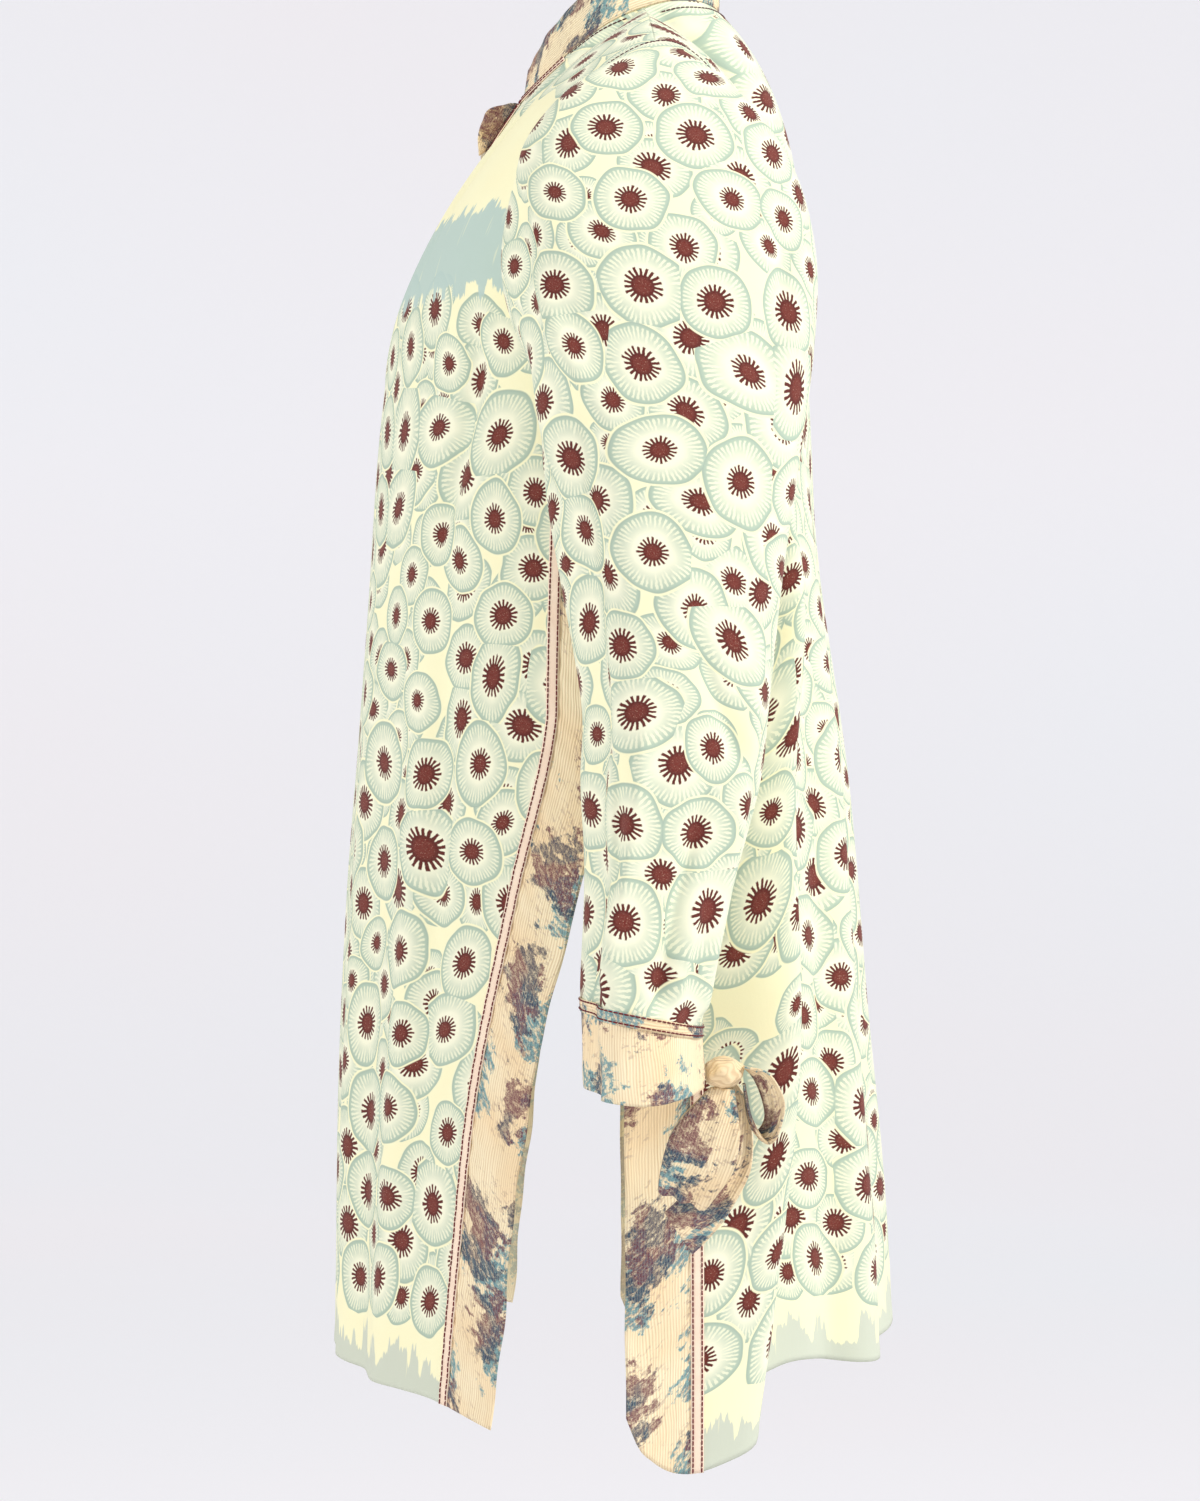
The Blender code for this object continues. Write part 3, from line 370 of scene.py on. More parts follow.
def run_up(grid):
    """Length along each column of a grid, from 0 at its last row."""
    return run(grid[::-1])[::-1]


def by_length(line, lengths):
    """Points of a fine line at the given lengths from its start."""
    at = run(line)
    return np.stack([np.interp(lengths, at, line[:, axis]) for axis in range(line.shape[1])], axis=-1)


def spline(points, count):
    """Smooth line of count points through the given ones, spaced by the root of their distances."""
    points = np.asarray(points, float)
    chords = np.sqrt(np.linalg.norm(np.diff(points, axis=0), axis=1))
    knots = np.concatenate(([0.0], np.cumsum(chords)))
    return smooth(knots, points, np.linspace(0.0, knots[-1], count))


def front_ring(height):
    """Left front half of the body at one height, from the side edge to the centre: part of an ellipse."""
    turn = np.radians(column(FRONT_LEVELS, "turn", height))
    edge_x = column(SIDE_SEAM, "x", height) + max(0.0, column(FRONT_LEVELS, "open_outward", height))
    edge_y = column(SIDE_SEAM, "y", height) - max(0.0, column(FRONT_LEVELS, "open_forward", height))
    front_y = column(FRONT_LEVELS, "front_y", height)
    half_width = edge_x / np.sin(turn)
    half_depth = (edge_y - front_y) / (1.0 - np.cos(turn))
    angle = np.linspace(turn, 0.0, FRONT_RING_POINTS)
    return np.stack((half_width * np.sin(angle), front_y + half_depth * (1.0 - np.cos(angle))), axis=1)


def back_ring(height):
    """Left back half of the body at one height, from the side edge over the side fold to the centre back."""
    value = {name: float(column(BACK_LEVELS, name, height)) for name in BACK_LEVELS if name != "height"}
    keys = [(column(SIDE_SEAM, "x", height), column(SIDE_SEAM, "y", height))]
    keys += [(value[name + "_x"], value[name + "_y"]) for name in ("crest", "valley", "round")]
    keys += [(0.0, value["back_y"]), (-value["round_x"], value["round_y"])]
    fine = spline(keys, BACK_RING_POINTS)
    return np.vstack((fine[fine[:, 0] > 0.0], (0.0, value["back_y"])))


LEVELS = np.arange(-0.200, LOWEST_LEVEL, -LEVEL_STEP)
RINGS = {
    "front": [front_ring(height) for height in LEVELS],
    "back": [back_ring(height) for height in LEVELS],
}
HALF_LENGTHS = {side: np.array([run(ring)[-1] for ring in rings]) for side, rings in RINGS.items()}
HEM_LEVEL = -8


def from_side(reaches, length):
    """Lengths from a ring's side edge: a reach below 1 is one, and from 1 up it adds a share of the panel."""
    reaches = np.asarray(reaches, float)
    return np.where(reaches >= 1.0, STRIP_WIDTH + (reaches - 1.0) * (length - STRIP_WIDTH), reaches)


def body_points(side, reaches, heights):
    """Points of the left body at reaches from the side edge (columns) and heights (rows by columns).

    A reach is a length along the ring, or 1 and a fraction of the panel inside the strip.
    Between the levels each column is a Catmull-Rom cubic.
    """
    reach = from_side(reaches, HALF_LENGTHS[side][:, None])
    track = np.array([by_length(ring, row) for ring, row in zip(RINGS[side], reach)])
    place = (LEVELS[0] - heights) / LEVEL_STEP
    cell = np.clip(place.astype(int), 1, len(LEVELS) - 3)
    t = (place - cell)[..., None]
    steps = ((cell + step)[..., None] for step in (-1, 0, 1, 2))
    before, start, end, after = (np.take_along_axis(track, step, axis=0) for step in steps)
    slope = 0.5 * (end - before)
    next_slope = 0.5 * (after - start)
    flat = start + t * slope + t * t * (3 * (end - start) - 2 * slope - next_slope)
    flat = flat + t ** 3 * (2 * (start - end) + slope + next_slope)
    return np.concatenate((flat, heights[..., None]), axis=-1)


def hem_height(side, reaches):
    """Height of the hem at reaches from the side edge."""
    table = FRONT_HEM if side == "front" else BACK_HEM
    return smooth(table["from_edge"], table["height"], from_side(reaches, HALF_LENGTHS[side][HEM_LEVEL]))


def armhole_keys():
    """Ten points round the left armhole, from the shoulder down the front and up the back."""
    yoke = np.array([[YOKE_HEIGHT]])
    front_strip = body_points("front", [STRIP_WIDTH], yoke)[0]
    back_strip = body_points("back", [STRIP_WIDTH], yoke)[0]
    armpit = body_points("front", [0.0], np.array([[ARMPIT_HEIGHT]]))[0]
    return np.vstack((xyz(ARMHOLE_FRONT), front_strip, armpit, back_strip, xyz(ARMHOLE_BACK)))


ARMHOLE_KEYS = armhole_keys()


def armhole(turns):
    """Points of the armhole; turns runs from 0 at the shoulder through 0.5 at the armpit to 1."""
    keys = np.vstack((ARMHOLE_KEYS[-2:], ARMHOLE_KEYS, ARMHOLE_KEYS[:3]))
    knots = np.arange(-2, len(ARMHOLE_KEYS) + 3) / len(ARMHOLE_KEYS)
    return smooth(knots, keys, turns)


def neckline(along):
    """Points of the neckline's left half; along runs from 0 at the front corner to 1 at the centre back."""
    keys = xyz(NECKLINE)
    keys = np.vstack((keys, keys[-2] * (-1.0, 1.0, 1.0)))
    knots = run(keys)
    return smooth(knots / knots[-2], keys, along)


def opening_edge(along):
    """Left edge of the front opening, from its bottom at 0 to the neckline's front corner at 1."""
    return smooth((0.0, 0.47, 1.0), (OPENING_BOTTOM, OPENING_MIDDLE, neckline([0.0])[0]), along)


def yoke_top(side, fraction):
    """Top edge of a panel's left half, from the centre at 0 to the shoulder point at 1."""
    knots = run(xyz(NECKLINE))
    meet = knots[NECK_SHOULDER_KEY] / knots[-1]
    opening_end, neck_end = FRONT_YOKE_ENDS if side == "front" else (0.0, BACK_YOKE_END)
    neck_share = np.clip((fraction - opening_end) / (neck_end - opening_end), 0.0, 1.0)
    neck = neckline(meet * neck_share if side == "front" else 1.0 - (1.0 - meet) * neck_share)
    shoulder = smooth((0.0, 0.5, 1.0), xyz(SHOULDER_SEAM), (fraction - neck_end) / (1.0 - neck_end))
    top = np.where((fraction < neck_end)[:, None], neck, shoulder)
    if side == "front":
        top = np.where((fraction < opening_end)[:, None], opening_edge(fraction / opening_end), top)
    return top


def yoke_points(side, fractions, depths):
    """Upper part of a panel's left half, with its columns at fractions from the centre and rows at depths.

    Depths run from 0 at the top edge to 1 at the yoke's height.
    Each column is a cubic curve from the top edge to the ring at the yoke's height, and the outer
    columns are drawn over to the armhole.
    """
    fractions = np.asarray(fractions, float)
    top = yoke_top(side, fractions)
    edge_top = yoke_top(side, np.array([1.0]))
    bottom = body_points(side, 2.0 - fractions, np.full((1, len(fractions)), YOKE_HEIGHT))[0]
    edge_bottom = body_points(side, [STRIP_WIDTH], np.array([[YOKE_HEIGHT]]))[0]
    slopes = YOKE_SLOPES[side]
    t = np.asarray(depths, float)[:, None, None]

    def curve(start, end, fraction):
        """Cubic from start to end that leaves along the table's slopes and arrives straight down."""
        span = np.linalg.norm(end - start, axis=-1, keepdims=True)
        leave_y = smooth(slopes["fraction"], slopes["y"], fraction)
        leave_z = smooth(slopes["fraction"], slopes["z"], fraction)
        leave = np.stack((np.zeros_like(leave_y), leave_y, leave_z), axis=-1) * span
        arrive = np.zeros_like(leave)
        arrive[..., 2] = -span[..., 0]
        first = (1 + 2 * t) * (1 - t) ** 2 * start + t * (1 - t) ** 2 * leave
        return first + t * t * (3 - 2 * t) * end + t * t * (t - 1) * arrive

    surface = curve(top, bottom, fractions)
    plain_edge = curve(edge_top, edge_bottom, np.array([1.0]))
    turns = 0.4 * np.asarray(depths, float)
    true_edge = armhole(turns if side == "front" else 1.0 - turns)[:, None]
    return surface + ease(fractions, 0.35, 1.0)[None, :, None] * (true_edge - plain_edge)


def mirrored(grid):
    """The same grid on the wearer's right, with its columns turned round to keep its faces outwards."""
    return (grid * (-1.0, 1.0, 1.0))[:, ::-1]


def both_halves(half):
    """A whole panel from its left half, whose first column is the centre line."""
    return np.hstack((mirrored(half)[:, :-1], half))


def normals(grid):
    """Unit normals of a grid, from the cross product of its row and column directions."""
    return unit(np.cross(np.gradient(grid, axis=1), np.gradient(grid, axis=0)))


def facing(grid, way):
    """Unit normals of a grid, on the side that the given way points to."""
    out = normals(grid)
    return out * np.sign((out * way).sum())


def outward(grid):
    """Unit normals of a grid whose rows go round a hollow, away from the middle of each row."""
    return facing(grid, grid - grid.mean(axis=1, keepdims=True))


def turned_out(grid, cloth_at, out):
    """Grid and cloth coordinates with the columns turned round where the faces would point inwards.

    A face of this file's grids points against normals(), the cross product of columns and rows.
    """
    if (normals(grid) * out).sum() > 0.0:
        return grid[:, ::-1], cloth_at[:, ::-1]
    return grid, cloth_at


def folds(table, across, up):
    """Height of all soft folds at cloth coordinates: the sum of depth * exp(-(s / width)^2) * ends.

    s is the distance from the fold's line, which bows by bow * 4 t (1 - t), and ends eases to 0 past its ends.
    """
    total = np.zeros_like(across)
    for low_a, low_u, high_a, high_u, bow, depth, width in zip(*table.values()):
        way = np.array((high_a - low_a, high_u - low_u))
        length = np.hypot(*way)
        way /= length
        t = ((across - low_a) * way[0] + (up - low_u) * way[1]) / length
        s = (across - low_a) * way[1] - (up - low_u) * way[0]
        inside = np.clip(t, 0.0, 1.0)
        s = s - bow * 4.0 * inside * (1.0 - inside)
        open_end = 1.0 if low_u < 0.004 else ease(t, -0.12, 0.22)
        ends = open_end * (1.0 - ease(t, 0.62, 1.12))
        total += FOLD_SCALE * depth * np.exp(-((s / width) ** 2)) * ends
    return total


# Materials: numbers inside a node tree


class Number:
    """A value inside a material; arithmetic on it adds Math nodes."""

    def __init__(self, tree, socket):
        self.tree = tree
        self.socket = socket

    def math(self, operation, *others, clamp=False):
        """A Math node on this value and the others."""
        node = self.tree.nodes.new("ShaderNodeMath")
        node.operation = operation
        node.use_clamp = clamp
        for socket, value in zip(node.inputs, (self, *others)):
            feed(self.tree, socket, value)
        return Number(self.tree, node.outputs[0])

    def __add__(self, other):
        return self.math("ADD", other)

    def __sub__(self, other):
        return self.math("SUBTRACT", other)

    def __mul__(self, other):
        return self.math("MULTIPLY", other)

    def __truediv__(self, other):
        return self.math("DIVIDE", other)

    def above(self, limit, soft):
        """0 to 1 where the value passes the limit, over a soft width."""
        return ((self - limit) / soft).math("ADD", 0.5, clamp=True)

    def below(self, limit, soft):
        """1 to 0 where the value passes the limit, over a soft width."""
        return ((self - limit) / -soft).math("ADD", 0.5, clamp=True)


def feed(tree, socket, value):
    """Puts a number, a Number or another node's socket into a socket."""
    if isinstance(value, Number):
        tree.links.new(value.socket, socket)
    elif isinstance(value, bpy.types.NodeSocket):
        tree.links.new(value, socket)
    else:
        socket.default_value = value


def vector(tree, x, y, z=0.0):
    """Three numbers as one vector."""
    node = tree.nodes.new("ShaderNodeCombineXYZ")
    for socket, value in zip(node.inputs, (x, y, z)):
        feed(tree, socket, value)
    return node.outputs[0]


def parts(tree, socket):
    """The three numbers of a vector or colour."""
    node = tree.nodes.new("ShaderNodeSeparateXYZ")
    tree.links.new(socket, node.inputs[0])
    return [Number(tree, output) for output in node.outputs]


def noise(tree, at, scale, detail=2.0, roughness=0.5):
    """Soft noise, about 0.3 to 0.7."""
    node = tree.nodes.new("ShaderNodeTexNoise")
    tree.links.new(at, node.inputs["Vector"])
    node.inputs["Scale"].default_value = scale
    node.inputs["Detail"].default_value = detail
    node.inputs["Roughness"].default_value = roughness
    return Number(tree, node.outputs["Fac"])


def chance(tree, x, y):
    """An even random number for each pair of whole numbers."""
    node = tree.nodes.new("ShaderNodeTexWhiteNoise")
    node.noise_dimensions = "2D"
    tree.links.new(vector(tree, x, y), node.inputs["Vector"])
    return Number(tree, node.outputs["Value"])


def cells(tree, at, randomness):
    """Scattered points, one in each unit square: where the nearest one is, and its own random colour."""
    node = tree.nodes.new("ShaderNodeTexVoronoi")
    node.voronoi_dimensions = "2D"
    node.inputs["Scale"].default_value = 1.0
    node.inputs["Randomness"].default_value = randomness
    tree.links.new(at, node.inputs["Vector"])
    return node


def mix(tree, share, low, high):
    """Colour low where share is 0 and high where it is 1."""
    node = tree.nodes.new("ShaderNodeMix")
    node.data_type = "RGBA"
    feed(tree, node.inputs[0], share)
    feed(tree, node.inputs[6], low)
    feed(tree, node.inputs[7], high)
    return node.outputs[2]


def colour(red, green, blue):
    """Linear colour from screen values of 0 to 255."""
    share = np.array((red, green, blue)) / 255.0
    linear = np.where(share > 0.04045, ((share + 0.055) / 1.055) ** 2.4, share / 12.92)
    return (*[float(value) for value in linear], 1.0)


# Dyes, and a tan that also paints shade along the crepe's crinkles
GROUND = colour(253, 249, 206)
PETAL_MIDDLE = colour(252, 250, 222)
PETAL_PALE = colour(238, 241, 210)
PETAL_SAGE = colour(179, 198, 177)
PETAL_RIM = colour(168, 188, 170)
DISC_RED = colour(92, 20, 16)
DISC_BROWN = colour(128, 52, 42)
DISC_FLECK = colour(216, 188, 160)
BAND_BLUE = colour(184, 206, 197)
BAND_GREY = colour(204, 211, 194)
CREPE_CREAM = colour(254, 239, 202)
CREPE_PEACH = colour(252, 227, 184)
# Tan: painted shade along the crepe's crinkles, and a fine random grain on the tape
CRINKLE_SHADE_AND_TAPE_GRAIN = colour(212, 178, 132)
TEAL = colour(64, 150, 164)
PLUM = colour(108, 48, 66)
SLATE = colour(56, 60, 84)
TAPE_CREAM = colour(255, 234, 210)
TAPE_PINK = colour(250, 220, 196)
THREAD_RED = colour(112, 12, 24)
THREAD_DARK = colour(84, 40, 46)

# Flower layers, from the lowest: spacing, offset of its scatter, mean radius, share of heads that are there,
# and how far they stray from an even grid
FLOWER_LAYERS = (
    {"pitch": 0.034, "offset": (0.31, 0.72), "radius": 0.0148, "present": 0.90, "jitter": 0.60},
    {"pitch": 0.046, "offset": (0.50, 0.50), "radius": 0.0184, "present": 0.96, "jitter": 0.38},
    {"pitch": 0.046, "offset": (0.00, 0.00), "radius": 0.0190, "present": 0.97, "jitter": 0.38},
)

# Pale strokes round a rim, rays round a disc, and a ray's half width as a share of the disc's radius
HATCHES = 46
RAYS = 19
RAY_SHARE = 0.125

# A soft width so small that the edge is a step
SHARP = 0.00001


def flower_heads(tree, u, v, wobble, layer, under, zone):
    """One layer of flower heads over the colour under it.

    Each cell's point is a head's middle. The distance from it, stretched along a random way and divided by an
    uneven radius, runs from 0 to 1 at the rim. Pale strokes run in from the rim, and a dark disc with rays is
    in the middle.
    """
    pitch = layer["pitch"]
    x = u / pitch + layer["offset"][0]
    y = v / pitch + layer["offset"][1]
    scatter = cells(tree, vector(tree, x, y), layer["jitter"])
    middle_x, middle_y, _ = parts(tree, scatter.outputs["Position"])
    luck, stretch, size = parts(tree, scatter.outputs["Color"])
    away_x = (x - middle_x) * pitch
    away_y = (y - middle_y) * pitch
    angle = luck * TURN
    cosine = angle.math("COSINE")
    sine = angle.math("SINE")
    long_way = (away_x * cosine + away_y * sine) / (stretch * 0.42 + 0.98)
    short_way = away_y * cosine - away_x * sine
    distance = (long_way * long_way + short_way * short_way + 1e-9).math("SQRT")
    round_at = vector(tree, long_way / distance, short_way / distance, stretch * 37.0)
    uneven = noise(tree, round_at, 0.85, 1.0)
    radius = (size * 0.38 + 0.80) * layer["radius"]
    reach = distance / (radius * (uneven * 0.40 + 0.80))
    way = short_way.math("ARCTAN2", long_way)

    hatch = way * (HATCHES / TURN) + wobble * 0.6
    hatch_index = hatch.math("FLOOR")
    hatch_side = (hatch - hatch_index - 0.5).math("ABSOLUTE") * 2.0
    hatch_luck = chance(tree, hatch_index, size * 91.0)
    dash = hatch_side.below(0.48, 0.16) * reach.above(hatch_luck * 0.20 + 0.54, 0.12)
    dash = dash * reach.below(0.90, 0.04)
    sage = reach.above(0.69, 0.48) * (dash * -0.88 + 1.0)

    ray = way * (RAYS / TURN) + luck * 7.0 + wobble * 0.35
    ray_index = ray.math("FLOOR")
    disc_radius = radius * (luck * 0.07 + 0.218)
    ray_side = (ray - ray_index - 0.5).math("ABSOLUTE") * distance * (TURN / RAYS)
    ray_luck = chance(tree, ray_index, stretch * 57.0)
    ray_end = disc_radius * (ray_luck * 0.22 + 1.58)
    rays = (ray_side / (disc_radius * RAY_SHARE)).below(1.0, 0.4) * distance.below(ray_end, 0.0006)
    disc = (distance + wobble * 0.0010).below(disc_radius * 1.04, 0.0006).math("MAXIMUM", rays)

    petal = mix(tree, reach.above(0.60, 0.70), PETAL_MIDDLE, PETAL_PALE)
    petal = mix(tree, sage, petal, PETAL_SAGE)
    petal = mix(tree, reach.above(0.960, 0.04), petal, PETAL_RIM)
    speckle = noise(tree, vector(tree, u, v), 1300.0, 2.0, 0.7)
    core = distance.below(disc_radius * 0.76, 0.0016)
    dye = mix(tree, core * (speckle * 2.0 - 0.40), DISC_RED, DISC_BROWN)
    dye = mix(tree, core * speckle.above(0.66, 0.05) * 0.7, dye, DISC_FLECK)
    petal = mix(tree, disc, petal, dye)

    cell_luck = chance(tree, (middle_x * 13.0).math("FLOOR"), (middle_y * 13.0).math("FLOOR"))
    present = cell_luck.below(layer["present"], SHARP)
    present = present * zone((middle_y - layer["offset"][1]) * pitch)
    gap = 0.0011 / layer["radius"]
    ground = mix(tree, reach.below(1.0 + gap, 0.03) * present, under, GROUND)
    return mix(tree, reach.below(1.0, 0.03) * present, ground, petal)


def ragged(tree, u, scale, height):
    """Height of a brushed edge, 0 to about height: uneven blocks, a few drips and narrow spikes."""
    block = noise(tree, vector(tree, u * scale * 0.8, 0.0), 1.0, 2.0).above(0.50, 0.03)
    drips = (noise(tree, vector(tree, u * scale * 1.3, 7.0), 1.0, 1.0) - 0.47).math("MAXIMUM", 0.0) * 4.0
    spikes = (noise(tree, vector(tree, u * scale * 7.0, 3.0), 1.0, 1.0) - 0.40).math("MAXIMUM", 0.0) * 3.0
    return (block * 0.50 + drips * 0.35 + spikes * (block * 0.30 + 0.12)) * height


def cloth_shader(name, roughness, sheen, tint):
    """A new material with its node tree, its shader, and the two cloth coordinates of the piece."""
    material = bpy.data.materials.new(name)
    material.use_nodes = True
    tree = material.node_tree
    shader = tree.nodes["Principled BSDF"]
    shader.inputs["Roughness"].default_value = roughness
    shader.inputs["Sheen Weight"].default_value = sheen
    shader.inputs["Sheen Roughness"].default_value = 0.5
    shader.inputs["Sheen Tint"].default_value = tint
    shader.inputs["Specular IOR Level"].default_value = 0.25
    where = tree.nodes.new("ShaderNodeUVMap")
    where.uv_map = "cloth"
    u, v, _ = parts(tree, where.outputs[0])
    return material, tree, shader, u, v


def bump(tree, shader, height, distance, strength=1.0):
    """Fine relief from a height of 0 to 1, over a real distance."""
    node = tree.nodes.new("ShaderNodeBump")
    node.inputs["Distance"].default_value = distance
    node.inputs["Strength"].default_value = strength
    feed(tree, node.inputs["Height"], height)
    tree.links.new(node.outputs[0], shader.inputs["Normal"])


HEM_BAND_HEIGHT = 0.014
HEM_CLEAR_HEIGHT = 0.047
CHEST_BAND = (-0.176, -0.128)
CHEST_CLEAR = (0.592, 0.725)


def flowered_voile(name, hem_band, chest_band, reverse):
    """Printed voile: flower heads on cream yellow, with a brushed band along a hem and one across the chest.

    The reverse shows the same print paler.
    """
    material, tree, shader, u, v = cloth_shader(name, 0.82, 0.08, (1.0, 1.0, 0.94, 1.0))
    at = vector(tree, u, v)
    bend = tree.nodes.new("ShaderNodeTexNoise")
    tree.links.new(at, bend.inputs["Vector"])
    bend.inputs["Scale"].default_value = 16.0
    bend.inputs["Detail"].default_value = 1.0
    bend_x, bend_y, _ = parts(tree, bend.outputs["Color"])
    flower_u = u + (bend_x - 0.5) * 0.010
    flower_v = v + (bend_y - 0.5) * 0.010
    wobble = noise(tree, at, 420.0, 1.0) - 0.5

    def zone(height):
        """1 where flower heads with their middles at this height are kept, and 0 where a band clears them."""
        clear = height.above(HEM_CLEAR_HEIGHT, SHARP) if hem_band else height.above(-9.0, SHARP)
        if chest_band:
            outside = height.below(CHEST_CLEAR[0], SHARP) + height.above(CHEST_CLEAR[1], SHARP)
            clear = clear * outside
        return clear

    tone = noise(tree, at, 30.0, 2.0)
    dye = mix(tree, tone.above(0.52, 0.3) * 0.35, GROUND, colour(253, 244, 196))
    for layer in FLOWER_LAYERS:
        dye = flower_heads(tree, flower_u, flower_v, wobble, layer, dye, zone)
    streak = noise(tree, vector(tree, u * 300.0, v * 26.0), 1.0, 2.0)
    if hem_band:
        edge = ragged(tree, u, 62.0, 0.021)
        hem = (v - edge).below(HEM_BAND_HEIGHT - 0.005, 0.0012)
        hem = hem * (streak.above(0.30, 0.06) * 0.35 + 0.65)
        dye = mix(tree, hem * 0.92, dye, BAND_GREY)
    if chest_band:
        place = tree.nodes.new("ShaderNodeTexCoord")
        _, _, z = parts(tree, place.outputs["Object"])
        upper = (z - ragged(tree, u + 5.0, 90.0, 0.009)).below(CHEST_BAND[1] - 0.004, 0.0010)
        lower = (z + ragged(tree, u + 9.0, 110.0, 0.012)).above(CHEST_BAND[0] + 0.007, 0.0010)
        band = upper * lower * (streak.above(0.33, 0.05) * 0.3 + 0.7)
        dye = mix(tree, band * 0.95, dye, BAND_BLUE)
    if reverse:
        dye = mix(tree, 0.42, dye, GROUND)
    mottle = noise(tree, at, 900.0, 2.0)
    dye = mix(tree, mottle.above(0.5, 0.5) * 0.05, dye, colour(214, 214, 190))
    tree.links.new(dye, shader.inputs["Base Color"])
    weave_u = (u * (TURN * VOILE_THREADS)).math("SINE")
    weave_v = (v * (TURN * VOILE_THREADS)).math("SINE")
    slub = noise(tree, vector(tree, u * 260.0, v * 40.0), 1.0, 2.0)
    bump(tree, shader, weave_u * weave_v * 0.10 + slub * 0.5 + mottle * 0.3, 0.00022, 0.7)
    return material


CLUMP_PITCH = (0.044, 0.066)


def clumps(tree, u, v, outline):
    """Scattered clumps, one to each cell of the pitch: above 0 inside a clump's uneven outline."""
    x = u / CLUMP_PITCH[0]
    y = v / CLUMP_PITCH[1]
    scatter = cells(tree, vector(tree, x, y), 0.55)
    middle_x, middle_y, _ = parts(tree, scatter.outputs["Position"])
    luck, _, _ = parts(tree, scatter.outputs["Color"])
    away_x = (x - middle_x) * 2.0
    away_y = (y - middle_y) * 2.0
    distance = (away_x * away_x + away_y * away_y).math("SQRT")
    return luck * 0.34 + 0.42 - distance + outline


def leafy_crepe(name, reverse):
    """Crinkled crepe: fine lengthwise crinkles on cream and peach, with painted shade along them, and leafy
    clumps in teal, plum and slate.

    The clumps are scattered and have ragged outlines. Inside them, scribbled lines are where a fine noise
    crosses its middle value, and brush strokes are a noise drawn out along a slant. Teal clumps lie beside
    the dark ones.
    """
    material, tree, shader, u, v = cloth_shader(name, 0.88, 0.05, (1.0, 0.97, 0.92, 1.0))
    at = vector(tree, u, v)
    sway = noise(tree, vector(tree, u * 50.0, v * 26.0), 1.0, 2.0)
    crinkle = ((u * CREPE_CRINKLES + sway * 3.0) * TURN).math("SINE")
    fine = noise(tree, vector(tree, u * 1100.0 + sway * 7.0, v * 34.0), 1.0, 1.0)
    tone = noise(tree, at, 22.0, 2.0)
    dye = mix(tree, tone.above(0.52, 0.22), CREPE_CREAM, CREPE_PEACH)
    # Painted shade: the colour darkens towards tan along the crinkles' wave, the same wave as the relief
    dye = mix(tree, crinkle.above(0.35, 1.1) * (fine * 0.9 + 0.05), dye, CRINKLE_SHADE_AND_TAPE_GRAIN)

    outline = (noise(tree, at, 170.0, 3.0, 0.65) - 0.5) * 1.7 + (noise(tree, at, 62.0, 1.0) - 0.5) * 1.5
    inked = clumps(tree, u, v, outline)
    washed = clumps(tree, u + 0.011, v + 0.013, outline)
    scribble = (noise(tree, at, 430.0, 2.0, 0.75) - 0.5).math("ABSOLUTE").below(0.034, 0.034)
    slanting = vector(tree, (u + v * 0.6) * 240.0, (v - u * 0.6) * 400.0)
    brush = noise(tree, slanting, 1.0, 2.0)
    hue = noise(tree, at, 52.0, 1.0)
    ink = mix(tree, hue.above(0.5, 0.07), SLATE, PLUM)

    faint = inked.above(-0.35, 0.20) * brush.above(0.56, 0.06) * 0.28
    dye = mix(tree, faint, dye, PLUM)
    dye = mix(tree, washed.above(0.02, 0.10) * (brush.above(0.46, 0.10) * 0.62 + 0.18), dye, TEAL)
    inside = inked.above(0.0, 0.12)
    dye = mix(tree, inside * (brush.above(0.47, 0.12) * 0.30 + 0.42), dye, ink)
    dye = mix(tree, inside * scribble * 0.82, dye, ink)
    dye = mix(tree, washed.above(0.10, 0.10) * scribble * 0.45, dye, ink)
    # Painted light: the colour, the clumps included, pales a little along the same crinkles
    dye = mix(tree, crinkle.above(0.35, 1.1) * 0.10, dye, CREPE_CREAM)
    if reverse:
        dye = mix(tree, 0.50, dye, CREPE_CREAM)
    tree.links.new(dye, shader.inputs["Base Color"])
    grain = noise(tree, at, 1400.0, 2.0)
    bump(tree, shader, crinkle * 0.34 + fine * 0.6 + grain * 0.25, 0.00050, 0.6)
    return material


def plain_tape():
    """Narrow tape: fine crosswise ribs on pinkish cream, a little darker in patches."""
    material, tree, shader, u, v = cloth_shader("tape_cream", 0.85, 0.1, (1.0, 0.96, 0.9, 1.0))
    at = vector(tree, u, v)
    tone = noise(tree, at, 60.0, 2.0)
    rib = ((v * TAPE_RIBS) * TURN).math("SINE")
    grain = noise(tree, at, 1600.0, 2.0)
    dye = mix(tree, tone.above(0.5, 0.3) * 0.6, TAPE_CREAM, TAPE_PINK)
    dye = mix(tree, grain.above(0.5, 0.4) * 0.12, dye, CRINKLE_SHADE_AND_TAPE_GRAIN)
    tree.links.new(dye, shader.inputs["Base Color"])
    bump(tree, shader, rib * 0.2 + grain * 0.4, 0.0002, 0.7)
    return material


def sewing_thread(name, dye):
    """Twisted thread: slanting plies along it, with a painted highlight along the plies and a soft gloss."""
    material, tree, shader, u, v = cloth_shader(name, 0.55, 0.06, (1.0, 0.9, 0.9, 1.0))
    ply = ((u * 3.0 + v * THREAD_TURNS) * TURN).math("SINE")
    # Painted highlight: a paler thread colour on the raised side of each ply
    ply_highlight = (*[0.6 * channel + 0.06 for channel in dye[:3]], 1.0)
    tree.links.new(mix(tree, ply.above(0.2, 1.2) * 0.25, dye, ply_highlight), shader.inputs["Base Color"])
    bump(tree, shader, ply, 0.00006, 0.6)
    return material


def both_faces(make, name, *choices):
    """A cloth's two materials: its face and its reverse."""
    return make(name, *choices, False), make(name + "_reverse", *choices, True)


